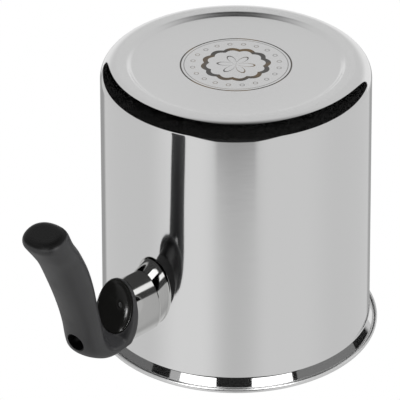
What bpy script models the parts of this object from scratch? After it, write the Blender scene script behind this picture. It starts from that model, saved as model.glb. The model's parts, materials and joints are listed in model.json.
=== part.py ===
"""Milk boiler: a double walled stainless pot with a water jacket, a hollow oval neck and a hooked handle.

Metres, +Z up to the open rim, handle towards +X. The origin is the centre of the flat plate pressed
into the underside; the pot stands on the ring round that plate, one recess depth lower.
Heights named below are measured up from that standing ring.
"""
import math

import bmesh
import bpy
from mathutils import Matrix, Vector

# Pot: outer shell and inner pot, both drawn from sheet and joined at the rim
POT_HEIGHT = 0.153
WALL_RADIUS_LOW = 0.0692
WALL_DRAFT = 0.0017
SHEET = 0.0008
SHOULDER_RADIUS = 0.0084
RECESS_RADIUS = 0.0552
RECESS_DEPTH = 0.0018
RECESS_SLOPE = 0.0010
FLARE_HEIGHT = 0.0076
FLARE_RADIUS = 0.0020
FLARE_TURN = math.radians(28.0)
LIP_LENGTH = 0.0042
BEAD_RADIUS = 0.0018
BEAD_OVERHANG = 0.0024
BEAD_ROLL = math.radians(190.0)
BEAD_START = math.radians(152.0)
JACKET_WIDTH = 0.0060
JACKET_DEPTH = 0.0100
INNER_CORNER_RADIUS = 0.0080
INNER_STEP_HEIGHT = 0.0110
INNER_STEP_BELOW_FLARE = 0.0044

# Heat spreading plate brazed to the outer floor, under a steel liner
CORE_RADIUS = 0.0520
CORE_THICKNESS = 0.0035
LINER_SHEET = 0.0006
LINER_EDGE_ROUND = 0.0012

# Neck: two oval tubes meeting at a mitre, with the way for the steam inside
NECK_BELOW_RIM = 0.0511
NECK_HALF_HEIGHT = 0.0178
NECK_HALF_WIDTH = 0.0103
NECK_SHEET = 0.0009
STUB_LENGTH = 0.0074
STUB_RISE = math.radians(18.0)
SLEEVE_LENGTH = 0.0182
SLEEVE_RISE = math.radians(-7.0)
WELD_SIZE = 0.0009
STEAM_PORT_RADIUS = 0.0060
SEAL_THICKNESS = 0.0008

# Clamp that draws the handle on to the neck
BRIDGE_FROM_COLLAR = 0.0145
BRIDGE_THICKNESS = 0.0016
BRIDGE_HALF_HEIGHT = 0.0055
NUT_ACROSS_FLATS = 0.0080
NUT_HEIGHT = 0.0040
SCREW_RADIUS = 0.0025
SCREW_LENGTH = 0.0100
SCREW_HEAD_RADIUS = 0.0042
SCREW_HEAD_HEIGHT = 0.0028
SCREW_SLOT_WIDTH = 0.0011
SCREW_SLOT_DEPTH = 0.0012
WASHER_THICKNESS = 0.0008
WASHER_RADIUS = 0.0045

# Handle: collar, spigot in the neck, and a hooked arm
COLLAR_HALF_HEIGHT = 0.0197
COLLAR_HALF_WIDTH = 0.0126
COLLAR_EDGE_ROUND = 0.0010
SPIGOT_LENGTH = 0.0125
SPIGOT_CLEARANCE = 0.0004
SEAT_FROM_COLLAR = 0.0100
SEAT_DEPTH = 0.0062
STEAM_HOLE_RADIUS = 0.0020
STEAM_HOLE_SPREAD = 0.0076
ARM_REACH = 0.0650
ARM_DROP = 0.0960
ARM_HALF_WIDTH = 0.0120
ARM_TOP_ABOVE_COLLAR = 0.0191
ARM_CORNER_POWER = 2.3
TIP_ROUND = 0.0045
BEND_BORE_RADIUS = 0.0049
BEND_BORE_LIFT = 0.0006
BEND_BORE_RISE = math.radians(-2.0)
BEND_BORE_START = 0.0150

# Whistle stopper: a dished cap that plugs the mouth of the handle
MOUTH_FROM_COLLAR = 0.0047
MOUTH_BELOW_COLLAR = 0.0050
MOUTH_RISE = math.radians(-15.0)
CAP_HALF_HEIGHT = 0.0143
CAP_HALF_WIDTH = 0.0108
CAP_LIP_WIDTH = 0.0007
CAP_EDGE_DEPTH = 0.0011
DISH_DEPTH = 0.0042
DISH_FLOOR_THICKNESS = 0.0010
PLUG_HALF_HEIGHT = 0.0104
PLUG_HALF_WIDTH = 0.0066
PLUG_START_DEPTH = 0.0034
PLUG_END_DEPTH = 0.0082
PLUG_CLEARANCE = 0.0006
CHAMBER_DEPTH = 0.0110
WHISTLE_BORE_RADIUS = 0.0052
WHISTLE_HOLE_RADIUS = 0.0015
WHISTLE_DISC_RADIUS = 0.0049
WHISTLE_DISC_HOLE_RADIUS = 0.0010
WHISTLE_DISC_THICKNESS = 0.0004
WHISTLE_DISC_SPACING = 0.0009
RING_SEAL_DEPTH = 0.0058
RING_SEAL_WIDTH = 0.0010
RING_SEAL_PROUD = 0.0003
RING_GROOVE_DEPTH = 0.0007

# Shared
GAP = 0.0003
OVERRUN = 0.0040
MERGE = 0.000001
TURN_STEPS = 52
ARM_RING_STEPS = 28
OVAL_STEPS = 32
ROUND_STEPS = 20
SMOOTH_ANGLE = math.radians(35.0)

# Arm stations from the collar to the tip: outer edge along reach and drop, inner edge along reach and
# drop, and half width, each as a share of ARM_REACH, ARM_DROP or ARM_HALF_WIDTH
ARM_STATION_SHARES = (
    (0.044, 0.036, 0.032, 0.118, 0.850),
    (0.110, 0.040, 0.104, 0.116, 0.875),
    (0.218, 0.041, 0.187, 0.115, 0.900),
    (0.338, 0.055, 0.252, 0.128, 0.917),
    (0.425, 0.082, 0.295, 0.157, 0.917),
    (0.507, 0.125, 0.319, 0.202, 0.908),
    (0.544, 0.188, 0.332, 0.250, 0.892),
    (0.570, 0.283, 0.352, 0.326, 0.883),
    (0.613, 0.384, 0.382, 0.426, 0.875),
    (0.675, 0.501, 0.419, 0.549, 0.900),
    (0.747, 0.621, 0.479, 0.675, 0.933),
    (0.821, 0.735, 0.572, 0.801, 0.958),
    (0.890, 0.807, 0.647, 0.879, 0.992),
    (0.987, 0.893, 0.687, 0.943, 0.992),
)
ARM_STEPS = 2

# How far the collar's front leans towards the mouth, as a share of the difference of their half heights
COLLAR_FRONT_SHARE = 0.84

# Dish of the cap: share of the half sizes inside the lip, then share of the depth
DISH_SHARES = ((0.93, 0.16), (0.80, 0.44), (0.60, 0.73), (0.38, 0.92), (0.24, 1.0))


# Places worked out from the sizes above

WALL_RADIUS_HIGH = WALL_RADIUS_LOW + WALL_DRAFT
NECK_HEIGHT = POT_HEIGHT - NECK_BELOW_RIM


def height(above_ring):
    """Z of a height measured up from the standing ring."""
    return above_ring - RECESS_DEPTH


def along(point, rise, distance):
    """Point moved in the handle plane along a direction that rises from +X by an angle."""
    return point + distance * Vector((math.cos(rise), 0.0, math.sin(rise)))


def across(point, rise, distance):
    """Point moved in the handle plane square to that direction, towards +Z."""
    return point + distance * Vector((-math.sin(rise), 0.0, math.cos(rise)))


def wall_radius(above_ring):
    """Outer radius of the slightly drafted wall at a height."""
    low = SHOULDER_RADIUS
    high = POT_HEIGHT - FLARE_HEIGHT
    share = (above_ring - low) / (high - low)
    return WALL_RADIUS_LOW + share * (WALL_RADIUS_HIGH - WALL_RADIUS_LOW)


NECK_ROOT = Vector((wall_radius(NECK_HEIGHT), 0.0, height(NECK_HEIGHT)))
MITRE = along(NECK_ROOT, STUB_RISE, STUB_LENGTH)
MITRE_RISE = (STUB_RISE + SLEEVE_RISE) / 2.0
SLEEVE_END = along(MITRE, SLEEVE_RISE, SLEEVE_LENGTH)
COLLAR = along(SLEEVE_END, SLEEVE_RISE, SEAL_THICKNESS + 2.0 * GAP)
MOUTH = across(along(COLLAR, SLEEVE_RISE, MOUTH_FROM_COLLAR), SLEEVE_RISE, -MOUTH_BELOW_COLLAR)


# Materials

def material(name, color, roughness, metallic):
    """Principled material with the piece's plain colour."""
    made = bpy.data.materials.new(name)
    made.use_nodes = True
    shader = made.node_tree.nodes["Principled BSDF"]
    shader.inputs["Base Color"].default_value = (*color, 1.0)
    shader.inputs["Roughness"].default_value = roughness
    shader.inputs["Metallic"].default_value = metallic
    return made


STEEL = (0.74, 0.74, 0.73)
POLISHED = (0.82, 0.82, 0.82)
ALUMINIUM = (0.80, 0.81, 0.82)
BLACK = (0.018, 0.018, 0.018)
GLOSS_BLACK = (0.010, 0.010, 0.010)
SILICONE = (0.05, 0.05, 0.05)


# Mesh helpers

def finish(name, bm, look):
    """Turn a bmesh into one smooth shaded object with outward faces."""
    bmesh.ops.remove_doubles(bm, verts=bm.verts, dist=MERGE)
    bmesh.ops.dissolve_degenerate(bm, edges=bm.edges, dist=MERGE)
    bmesh.ops.recalc_face_normals(bm, faces=bm.faces)
    mesh = bpy.data.meshes.new(name)
    bm.to_mesh(mesh)
    bm.free()
    mesh.shade_smooth()
    mesh.set_sharp_from_angle(angle=SMOOTH_ANGLE)
    mesh.materials.append(look)
    made = bpy.data.objects.new(name, mesh)
    bpy.context.scene.collection.objects.link(made)
    return made


def turned(name, outline, look, steps=TURN_STEPS, closed=False):
    """Spin an outline of (radius, height above the ring) round Z; an open one starts and ends on Z."""
    bm = bmesh.new()
    verts = [bm.verts.new((radius, 0.0, height(up))) for radius, up in outline]
    pairs = list(zip(verts, verts[1:]))
    if closed:
        pairs.append((verts[-1], verts[0]))
    edges = [bm.edges.new(pair) for pair in pairs]
    bmesh.ops.spin(bm, geom=verts + edges, cent=(0.0, 0.0, 0.0), axis=(0.0, 0.0, 1.0),
                   angle=2.0 * math.pi, steps=steps, use_merge=True)
    return finish(name, bm, look)


def skinned(name, rings, look, closed=False):
    """Skin rings of as many points each; a closed one joins last to first, an open one is capped."""
    bm = bmesh.new()
    rows = [[bm.verts.new(point) for point in ring] for ring in rings]
    pairs = list(zip(rows, rows[1:]))
    if closed:
        pairs.append((rows[-1], rows[0]))
    for low, high in pairs:
        for i, corner in enumerate(low):
            j = (i + 1) % len(low)
            bm.faces.new((corner, low[j], high[j], high[i]))
    if not closed:
        bm.faces.new(list(reversed(rows[0])))
        bm.faces.new(rows[-1])
    return finish(name, bm, look)


def oval(centre, rise, half_height, half_width, steps=OVAL_STEPS, power=2.0):
    """Ring square to a direction in the handle plane; a power over 2 squares its corners."""
    points = []
    for i in range(steps):
        angle = 2.0 * math.pi * i / steps
        up = math.copysign(abs(math.cos(angle)) ** (2.0 / power), math.cos(angle)) * half_height
        side = math.copysign(abs(math.sin(angle)) ** (2.0 / power), math.sin(angle)) * half_width
        points.append(across(centre, rise, up) + Vector((0.0, side, 0.0)))
    return points


def slid_to_plane(points, rise, plane_point, plane_rise):
    """Points slid along a direction until they lie in a plane square to another direction."""
    run = along(Vector((0.0, 0.0, 0.0)), rise, 1.0)
    normal = along(Vector((0.0, 0.0, 0.0)), plane_rise, 1.0)
    return [p + run * ((plane_point - p).dot(normal) / run.dot(normal)) for p in points]


def slid_to_wall(points, rise, stand_off):
    """Points slid along a direction until they stand off the outer wall by a distance."""
    run = along(Vector((0.0, 0.0, 0.0)), rise, 1.0)
    slid = []
    for p in points:
        radius = wall_radius(p.z + RECESS_DEPTH) + stand_off
        slid.append(p + run * ((math.sqrt(radius ** 2 - p.y ** 2) - p.x) / run.x))
    return slid


def rod(name, centre, rise, start, end, radius, steps=ROUND_STEPS):
    """Round cutter or pin along a direction in the handle plane."""
    rings = [oval(along(centre, rise, at), rise, radius, radius, steps) for at in (start, end)]
    return skinned(name, rings, CUTTER_LOOK)


def cut(body, cutter, operation="DIFFERENCE"):
    """Boolean modifier with a hidden cutter."""
    cutter.hide_render = True
    cutter.display_type = "WIRE"
    step = body.modifiers.new(cutter.name, "BOOLEAN")
    step.operation = operation
    step.solver = "EXACT"
    step.object = cutter


def arc(centre_radius, centre_up, radius, start, end, steps):
    """Points (radius, up) along an arc, angles from the +radius direction."""
    angles = [start + (end - start) * i / steps for i in range(steps + 1)]
    return [(centre_radius + radius * math.cos(a), centre_up + radius * math.sin(a)) for a in angles]


def sheet_outline(path, left, right):
    """Outline of a sheet round a path: offset to the left of it and to the right of it."""
    sides = ([], [])
    for i, (r, z) in enumerate(path):
        before = path[max(i - 1, 0)]
        after = path[min(i + 1, len(path) - 1)]
        first = Vector((r - before[0], z - before[1]))
        second = Vector((after[0] - r, after[1] - z))
        first = first.normalized() if first.length > MERGE else second.normalized()
        second = second.normalized() if second.length > MERGE else first
        normal = Vector((-(first.y + second.y), first.x + second.x)).normalized()
        stretch = 1.0 / max(normal.dot(Vector((-first.y, first.x))), 0.5)
        for side, offset in zip(sides, (left, -right)):
            side.append((max(r + normal.x * offset * stretch, 0.0) if r > 0.0 else 0.0,
                         z + normal.y * offset * stretch))
    return sides[0] + list(reversed(sides[1]))


# Pot

def flare_arc(radius, turn, steps):
    """Arc of the flare below the rim, at a radius from its centre outside the wall."""
    return arc(WALL_RADIUS_HIGH + FLARE_RADIUS, POT_HEIGHT - FLARE_HEIGHT, radius,
               math.pi, math.pi - turn, steps)


def outer_shell(look):
    """Outer vessel: recessed floor, standing ring, shoulder, wall and flared lip."""
    path = [(0.0, RECESS_DEPTH), (RECESS_RADIUS - RECESS_SLOPE, RECESS_DEPTH), (RECESS_RADIUS, 0.0)]
    path += arc(WALL_RADIUS_LOW - SHOULDER_RADIUS, SHOULDER_RADIUS, SHOULDER_RADIUS,
                -math.pi / 2.0, 0.0, 6)
    flare = flare_arc(FLARE_RADIUS, FLARE_TURN, 4)
    path += flare
    end = flare[-1]
    path.append((end[0] + LIP_LENGTH * math.sin(FLARE_TURN), end[1] + LIP_LENGTH * math.cos(FLARE_TURN)))
    shell = turned("outer_shell", sheet_outline(path, SHEET, 0.0), look)
    port = rod("steam_port_cut", Vector((0.0, 0.0, height(NECK_HEIGHT))), 0.0,
               wall_radius(NECK_HEIGHT) - SHEET - OVERRUN, wall_radius(NECK_HEIGHT) + OVERRUN,
               STEAM_PORT_RADIUS)
    cut(shell, port)
    return shell


def liner_top():
    """Height of the top of the liner over the heat spreading plate."""
    return RECESS_DEPTH + SHEET + GAP + CORE_THICKNESS + GAP + LINER_SHEET


def inner_pot(look):
    """Inner vessel: floor, wall, step out over the jacket, flare and rolled bead."""
    half = SHEET / 2.0
    floor = liner_top() + JACKET_DEPTH + half
    radius_low = WALL_RADIUS_LOW - SHEET - JACKET_WIDTH - half
    radius_high = WALL_RADIUS_HIGH - SHEET - GAP - half
    step_top = POT_HEIGHT - FLARE_HEIGHT - INNER_STEP_BELOW_FLARE
    step_low = step_top - INNER_STEP_HEIGHT
    path = [(0.0, floor)]
    path += arc(radius_low - INNER_CORNER_RADIUS, floor + INNER_CORNER_RADIUS, INNER_CORNER_RADIUS,
                -math.pi / 2.0, 0.0, 4)
    middle = ((radius_low + radius_high) / 2.0, (step_low + step_top) / 2.0)
    path.append((radius_low, step_low))
    for share in (0.25, 0.75):
        ease = share * share * (3.0 - 2.0 * share)
        path.append((radius_low + ease * (radius_high - radius_low), step_low + share * INNER_STEP_HEIGHT))
    path.insert(-1, middle)
    path.append((radius_high, step_top))
    flare_radius = FLARE_RADIUS + SHEET + GAP + half
    path += flare_arc(flare_radius, FLARE_TURN, 3)
    bead_centre = (WALL_RADIUS_HIGH + BEAD_OVERHANG, POT_HEIGHT - BEAD_RADIUS)
    path += arc(*bead_centre, BEAD_RADIUS - half, BEAD_START, BEAD_START - BEAD_ROLL, 7)
    return turned("inner_pot", sheet_outline(path, half, half), look)


def base_core(look):
    """Aluminium plate that spreads the heat."""
    low = RECESS_DEPTH + SHEET + GAP
    top = low + CORE_THICKNESS
    outline = [(0.0, low), (CORE_RADIUS, low), (CORE_RADIUS, top - LINER_EDGE_ROUND),
               (CORE_RADIUS - LINER_EDGE_ROUND, top), (0.0, top)]
    return turned("base_core", outline, look)


def base_liner(look):
    """Steel pan turned over the aluminium plate, its rim on the outer floor."""
    low = RECESS_DEPTH + SHEET + GAP
    under = low + CORE_THICKNESS + GAP
    radius = CORE_RADIUS + GAP
    path = [(0.0, under), (radius - LINER_EDGE_ROUND, under), (radius, under - LINER_EDGE_ROUND),
            (radius, low)]
    return turned("base_liner", sheet_outline(path, LINER_SHEET, 0.0), look)


# Neck

def neck_oval(centre, rise, shrink=0.0):
    """Oval of the neck tube, shrunk or grown all round."""
    return oval(centre, rise, NECK_HALF_HEIGHT - shrink, NECK_HALF_WIDTH - shrink)


def neck_stub(look):
    """Rising tube on the wall, cut to the wall at one end and mitred at the other."""
    near_mitre = along(MITRE, STUB_RISE, -GAP / 2.0)
    rings = []
    for shrink, at_wall in ((0.0, True), (0.0, False), (NECK_SHEET, False), (NECK_SHEET, True)):
        ring = neck_oval(NECK_ROOT, STUB_RISE, shrink)
        if at_wall:
            rings.append(slid_to_wall(ring, STUB_RISE, GAP))
        else:
            rings.append(slid_to_plane(ring, STUB_RISE, near_mitre, MITRE_RISE))
    return skinned("neck_stub", rings, look, closed=True)


def neck_sleeve(look):
    """Tube from the mitre to the handle's collar."""
    near_mitre = along(MITRE, SLEEVE_RISE, GAP / 2.0)
    rings = []
    for shrink, at_mitre in ((0.0, True), (0.0, False), (NECK_SHEET, False), (NECK_SHEET, True)):
        if at_mitre:
            ring = neck_oval(MITRE, SLEEVE_RISE, shrink)
            rings.append(slid_to_plane(ring, SLEEVE_RISE, near_mitre, MITRE_RISE))
        else:
            rings.append(neck_oval(SLEEVE_END, SLEEVE_RISE, shrink))
    return skinned("neck_sleeve", rings, look, closed=True)


def neck_weld(look):
    """Fillet of weld round the foot of the stub."""
    grown = -GAP
    foot = slid_to_wall(neck_oval(NECK_ROOT, STUB_RISE, grown), STUB_RISE, GAP)
    toe = slid_to_wall(neck_oval(NECK_ROOT, STUB_RISE, grown - WELD_SIZE), STUB_RISE, GAP)
    top = slid_to_wall(neck_oval(NECK_ROOT, STUB_RISE, grown), STUB_RISE, GAP + WELD_SIZE)
    return skinned("neck_weld", [foot, toe, top], look, closed=True)


def neck_seal(look):
    """Flat silicone ring between the sleeve and the handle's collar."""
    start = along(SLEEVE_END, SLEEVE_RISE, GAP)
    end = along(start, SLEEVE_RISE, SEAL_THICKNESS)
    rings = [neck_oval(start, SLEEVE_RISE), neck_oval(end, SLEEVE_RISE),
             neck_oval(end, SLEEVE_RISE, NECK_SHEET), neck_oval(start, SLEEVE_RISE, NECK_SHEET)]
    return skinned("neck_seal", rings, look, closed=True)


# Clamp

def clamp_bridge(look):
    """Strap welded across the sleeve, with a hole for the screw."""
    half_width = NECK_HALF_WIDTH - NECK_SHEET - GAP
    far = along(COLLAR, SLEEVE_RISE, -BRIDGE_FROM_COLLAR - BRIDGE_THICKNESS)
    near = along(COLLAR, SLEEVE_RISE, -BRIDGE_FROM_COLLAR)
    rings = [oval(at, SLEEVE_RISE, BRIDGE_HALF_HEIGHT, half_width, power=5.0) for at in (far, near)]
    holes = [oval(at, SLEEVE_RISE, SCREW_RADIUS + GAP, SCREW_RADIUS + GAP) for at in (near, far)]
    return skinned("clamp_bridge", rings + holes, look, closed=True)


def clamp_nut(look):
    """Hexagon nut welded behind the strap."""
    near = along(COLLAR, SLEEVE_RISE, -BRIDGE_FROM_COLLAR - BRIDGE_THICKNESS - GAP)
    far = along(near, SLEEVE_RISE, -NUT_HEIGHT)
    corner = NUT_ACROSS_FLATS / math.sqrt(3.0)
    flats = [hexagon(end, corner) for end in (far, near)]
    holes = [oval(at, SLEEVE_RISE, SCREW_RADIUS + GAP, SCREW_RADIUS + GAP) for at in (near, far)]
    return skinned("clamp_nut", flats + holes, look, closed=True)


def hexagon(centre, corner):
    """Hexagon with OVAL_STEPS points on its sides, square to the sleeve."""
    points = []
    side = math.pi / 3.0
    for i in range(OVAL_STEPS):
        angle = 2.0 * math.pi * i / OVAL_STEPS
        radius = corner * math.cos(side / 2.0) / math.cos(angle % side - side / 2.0)
        up = across(centre, SLEEVE_RISE, radius * math.cos(angle))
        points.append(up + Vector((0.0, radius * math.sin(angle), 0.0)))
    return points


def clamp_washer(look):
    """Washer under the screw's head."""
    low = along(COLLAR, SLEEVE_RISE, -SEAT_FROM_COLLAR + GAP)
    high = along(low, SLEEVE_RISE, WASHER_THICKNESS)
    inner = SCREW_RADIUS + GAP
    rings = [oval(low, SLEEVE_RISE, WASHER_RADIUS, WASHER_RADIUS, ROUND_STEPS),
             oval(high, SLEEVE_RISE, WASHER_RADIUS, WASHER_RADIUS, ROUND_STEPS),
             oval(high, SLEEVE_RISE, inner, inner, ROUND_STEPS),
             oval(low, SLEEVE_RISE, inner, inner, ROUND_STEPS)]
    return skinned("clamp_washer", rings, look, closed=True)


def clamp_screw(look):
    """Slotted screw through the web of the spigot into the nut."""
    head_foot = -SEAT_FROM_COLLAR + GAP + WASHER_THICKNESS + GAP
    head_top = head_foot + SCREW_HEAD_HEIGHT
    places = ((head_foot - SCREW_LENGTH, SCREW_RADIUS), (head_foot, SCREW_RADIUS),
              (head_foot, SCREW_HEAD_RADIUS), (head_top, SCREW_HEAD_RADIUS))
    rings = []
    for at, radius in places:
        rings.append(oval(along(COLLAR, SLEEVE_RISE, at), SLEEVE_RISE, radius, radius, ROUND_STEPS))
    screw = skinned("clamp_screw", rings, look)
    slot_half = SCREW_HEAD_RADIUS + OVERRUN
    slot_rings = [oval(along(COLLAR, SLEEVE_RISE, at), SLEEVE_RISE, SCREW_SLOT_WIDTH / 2.0, slot_half,
                       8, power=8.0) for at in (head_top - SCREW_SLOT_DEPTH, head_top + OVERRUN)]
    cut(screw, skinned("screw_slot_cut", slot_rings, CUTTER_LOOK))
    return screw


# Handle

def curve_through(points, steps):
    """Smooth curve through tuples of numbers, with steps between each two."""
    result = []
    last = len(points) - 1
    for i in range(last):
        p0, p1, p2, p3 = points[max(i - 1, 0)], points[i], points[i + 1], points[min(i + 2, last)]
        for k in range(steps):
            t = k / steps
            result.append(tuple(
                b + t * (c - a) / 2.0 + t * t * (a - 2.5 * b + 2.0 * c - d / 2.0)
                + t * t * t * (1.5 * (b - c) + (d - a) / 2.0)
                for a, b, c, d in zip(p0, p1, p2, p3)))
    result.append(tuple(points[last]))
    return result


def arm_ring(outer, inner, half_width):
    """Rounded section of the arm between an outer and an inner point."""
    centre = (outer + inner) / 2.0
    reach = (outer - inner) / 2.0
    rise = math.atan2(-reach.x, reach.z)
    return oval(centre, rise, reach.length, half_width, ARM_RING_STEPS, ARM_CORNER_POWER)


def arm_sections():
    """Sections of the arm from the collar to its rounded tip."""
    top = COLLAR.z + ARM_TOP_ABOVE_COLLAR
    sections = []
    for a, b, c, d, w in curve_through(ARM_STATION_SHARES, ARM_STEPS):
        outer = Vector((COLLAR.x + a * ARM_REACH, 0.0, top - b * ARM_DROP))
        inner = Vector((COLLAR.x + c * ARM_REACH, 0.0, top - d * ARM_DROP))
        sections.append((outer, inner, w * ARM_HALF_WIDTH))
    outer, inner, width = sections[-1]
    centre = (outer + inner) / 2.0
    reach = (outer - inner) / 2.0
    run = Vector((reach.z, 0.0, -reach.x)).normalized()
    for turn in (math.radians(28.0), math.radians(52.0), math.radians(72.0)):
        push = run * TIP_ROUND * math.sin(turn)
        draw_in = TIP_ROUND * (1.0 - math.cos(turn))
        scale = 1.0 - draw_in / reach.length
        sections.append((centre + push + reach * scale, centre + push - reach * scale, width - draw_in))
    return sections


def cap_ring(depth, half_height, half_width, steps=OVAL_STEPS):
    """Oval of the stopper at a depth behind the plane of the mouth."""
    return oval(along(MOUTH, MOUTH_RISE, -depth), MOUTH_RISE, half_height, half_width, steps)


def cap_back(grow):
    """Back of the cap as (depth, half height, half width), grown all round for the seat."""
    middle_depth = (CAP_EDGE_DEPTH + PLUG_START_DEPTH) / 2.0
    return ((CAP_EDGE_DEPTH + grow, CAP_HALF_HEIGHT + grow, CAP_HALF_WIDTH + grow),
            (middle_depth + grow, (CAP_HALF_HEIGHT + 2.0 * PLUG_HALF_HEIGHT) / 3.0 + grow,
             (CAP_HALF_WIDTH + 2.0 * PLUG_HALF_WIDTH) / 3.0 + grow),
            (PLUG_START_DEPTH + grow, PLUG_HALF_HEIGHT + grow, PLUG_HALF_WIDTH + grow))


def mouth_cutter():
    """Seat of the stopper and the steam chamber behind it."""
    rings = [cap_ring(-OVERRUN, CAP_HALF_HEIGHT + GAP, CAP_HALF_WIDTH + GAP)]
    rings += [cap_ring(*size) for size in cap_back(GAP)[:2]]
    plug_height = PLUG_HALF_HEIGHT + PLUG_CLEARANCE
    plug_width = PLUG_HALF_WIDTH + PLUG_CLEARANCE
    rings.append(cap_ring(PLUG_START_DEPTH + GAP, plug_height, plug_width))
    rings.append(cap_ring(CHAMBER_DEPTH, plug_height, plug_width))
    return skinned("mouth_cut", rings, CUTTER_LOOK)


def handle(look):
    """Moulded handle: hooked arm, collar and spigot, with mouth, bores and holes cut through."""
    body = skinned("handle", [arm_ring(*section) for section in arm_sections()], look)
    edge = COLLAR_EDGE_ROUND
    front = across(MOUTH, MOUTH_RISE, (COLLAR_HALF_HEIGHT - CAP_HALF_HEIGHT) * COLLAR_FRONT_SHARE)
    middle = (COLLAR + front) / 2.0
    middle_rise = (SLEEVE_RISE + MOUTH_RISE) / 2.0
    collar_rings = [
        oval(COLLAR, SLEEVE_RISE, COLLAR_HALF_HEIGHT - edge / 2.0, COLLAR_HALF_WIDTH - edge / 2.0),
        oval(along(COLLAR, SLEEVE_RISE, edge / 2.0), SLEEVE_RISE, COLLAR_HALF_HEIGHT,
             COLLAR_HALF_WIDTH),
        oval(middle, middle_rise, COLLAR_HALF_HEIGHT, COLLAR_HALF_WIDTH),
        oval(along(front, MOUTH_RISE, -edge / 2.0), MOUTH_RISE, COLLAR_HALF_HEIGHT - edge / 2.0,
             COLLAR_HALF_WIDTH - edge / 2.0),
        oval(front, MOUTH_RISE, COLLAR_HALF_HEIGHT - edge, COLLAR_HALF_WIDTH - edge),
    ]
    cut(body, skinned("collar_add", collar_rings, CUTTER_LOOK), "UNION")
    shrink = NECK_SHEET + SPIGOT_CLEARANCE
    spigot_rings = [neck_oval(along(COLLAR, SLEEVE_RISE, at), SLEEVE_RISE, shrink)
                    for at in (-SPIGOT_LENGTH, MOUTH_FROM_COLLAR / 2.0)]
    cut(body, skinned("spigot_add", spigot_rings, CUTTER_LOOK), "UNION")
    cut(body, mouth_cutter())
    seat = rod("seat_cut", COLLAR, SLEEVE_RISE, -SEAT_FROM_COLLAR, -SEAT_FROM_COLLAR + SEAT_DEPTH,
               WASHER_RADIUS + GAP)
    cut(body, seat)
    hole = rod("screw_hole_cut", COLLAR, SLEEVE_RISE, -SPIGOT_LENGTH - OVERRUN, -SEAT_FROM_COLLAR + OVERRUN,
               SCREW_RADIUS + GAP)
    cut(body, hole)
    for label, side in (("low", -1.0), ("high", 1.0)):
        start = across(COLLAR, SLEEVE_RISE, side * STEAM_HOLE_SPREAD)
        cut(body, rod("steam_hole_cut_" + label, start, SLEEVE_RISE, -SPIGOT_LENGTH - OVERRUN,
                      -SEAT_FROM_COLLAR + OVERRUN, STEAM_HOLE_RADIUS, 12))
    bend = across(COLLAR, SLEEVE_RISE, BEND_BORE_LIFT)
    cut(body, rod("bend_bore_cut", bend, BEND_BORE_RISE, BEND_BORE_START, ARM_REACH, BEND_BORE_RADIUS))
    return body


# Whistle stopper

def whistle_cap(look):
    """Dished cap with a plug behind it; the plug is bored for the whistle discs."""
    lip_height = CAP_HALF_HEIGHT - CAP_LIP_WIDTH
    lip_width = CAP_HALF_WIDTH - CAP_LIP_WIDTH
    rings = [cap_ring(CAP_LIP_WIDTH / 2.0, CAP_HALF_HEIGHT, CAP_HALF_WIDTH)]
    rings += [cap_ring(*size) for size in cap_back(0.0)]
    for depth, groove in ((RING_SEAL_DEPTH, 0.0), (RING_SEAL_DEPTH, RING_GROOVE_DEPTH),
                          (RING_SEAL_DEPTH + RING_SEAL_WIDTH + 2.0 * GAP, RING_GROOVE_DEPTH),
                          (RING_SEAL_DEPTH + RING_SEAL_WIDTH + 2.0 * GAP, 0.0), (PLUG_END_DEPTH, 0.0)):
        rings.append(cap_ring(depth, PLUG_HALF_HEIGHT - groove, PLUG_HALF_WIDTH - groove))
    floor = DISH_DEPTH + DISH_FLOOR_THICKNESS
    rings.append(cap_ring(PLUG_END_DEPTH, WHISTLE_BORE_RADIUS, WHISTLE_BORE_RADIUS))
    rings.append(cap_ring(floor, WHISTLE_BORE_RADIUS, WHISTLE_BORE_RADIUS))
    rings.append(cap_ring(floor, WHISTLE_HOLE_RADIUS, WHISTLE_HOLE_RADIUS))
    rings.append(cap_ring(DISH_DEPTH, WHISTLE_HOLE_RADIUS, WHISTLE_HOLE_RADIUS))
    for share, depth_share in reversed(DISH_SHARES):
        rings.append(cap_ring(DISH_DEPTH * depth_share, lip_height * share, lip_width * share))
    rings.append(cap_ring(0.0, lip_height, lip_width))
    rings.append(cap_ring(0.0, CAP_HALF_HEIGHT - CAP_LIP_WIDTH / 2.0, CAP_HALF_WIDTH - CAP_LIP_WIDTH / 2.0))
    return skinned("whistle_cap", rings, look, closed=True)


def whistle_seal(look):
    """Silicone ring in the groove of the plug."""
    start = RING_SEAL_DEPTH + GAP
    end = start + RING_SEAL_WIDTH
    inner = GAP - RING_GROOVE_DEPTH
    rings = []
    for depth, grow in ((start, inner), (end, inner), (end, RING_SEAL_PROUD), (start, RING_SEAL_PROUD)):
        rings.append(cap_ring(depth, PLUG_HALF_HEIGHT + grow, PLUG_HALF_WIDTH + grow))
    return skinned("whistle_seal", rings, look, closed=True)


def whistle_disc(name, depth, look):
    """Thin disc with a small hole, one of the pair that sounds."""
    far = depth + WHISTLE_DISC_THICKNESS
    rings = [cap_ring(at, radius, radius, ROUND_STEPS) for at, radius in (
        (depth, WHISTLE_DISC_RADIUS), (far, WHISTLE_DISC_RADIUS),
        (far, WHISTLE_DISC_HOLE_RADIUS), (depth, WHISTLE_DISC_HOLE_RADIUS))]
    return skinned(name, rings, look, closed=True)


def whistle_discs(look):
    """The two discs of the whistle, side by side in the bore of the plug."""
    front = DISH_DEPTH + DISH_FLOOR_THICKNESS + GAP
    whistle_disc("whistle_front_disc", front, look)
    whistle_disc("whistle_rear_disc", front + WHISTLE_DISC_THICKNESS + WHISTLE_DISC_SPACING, look)


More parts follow.
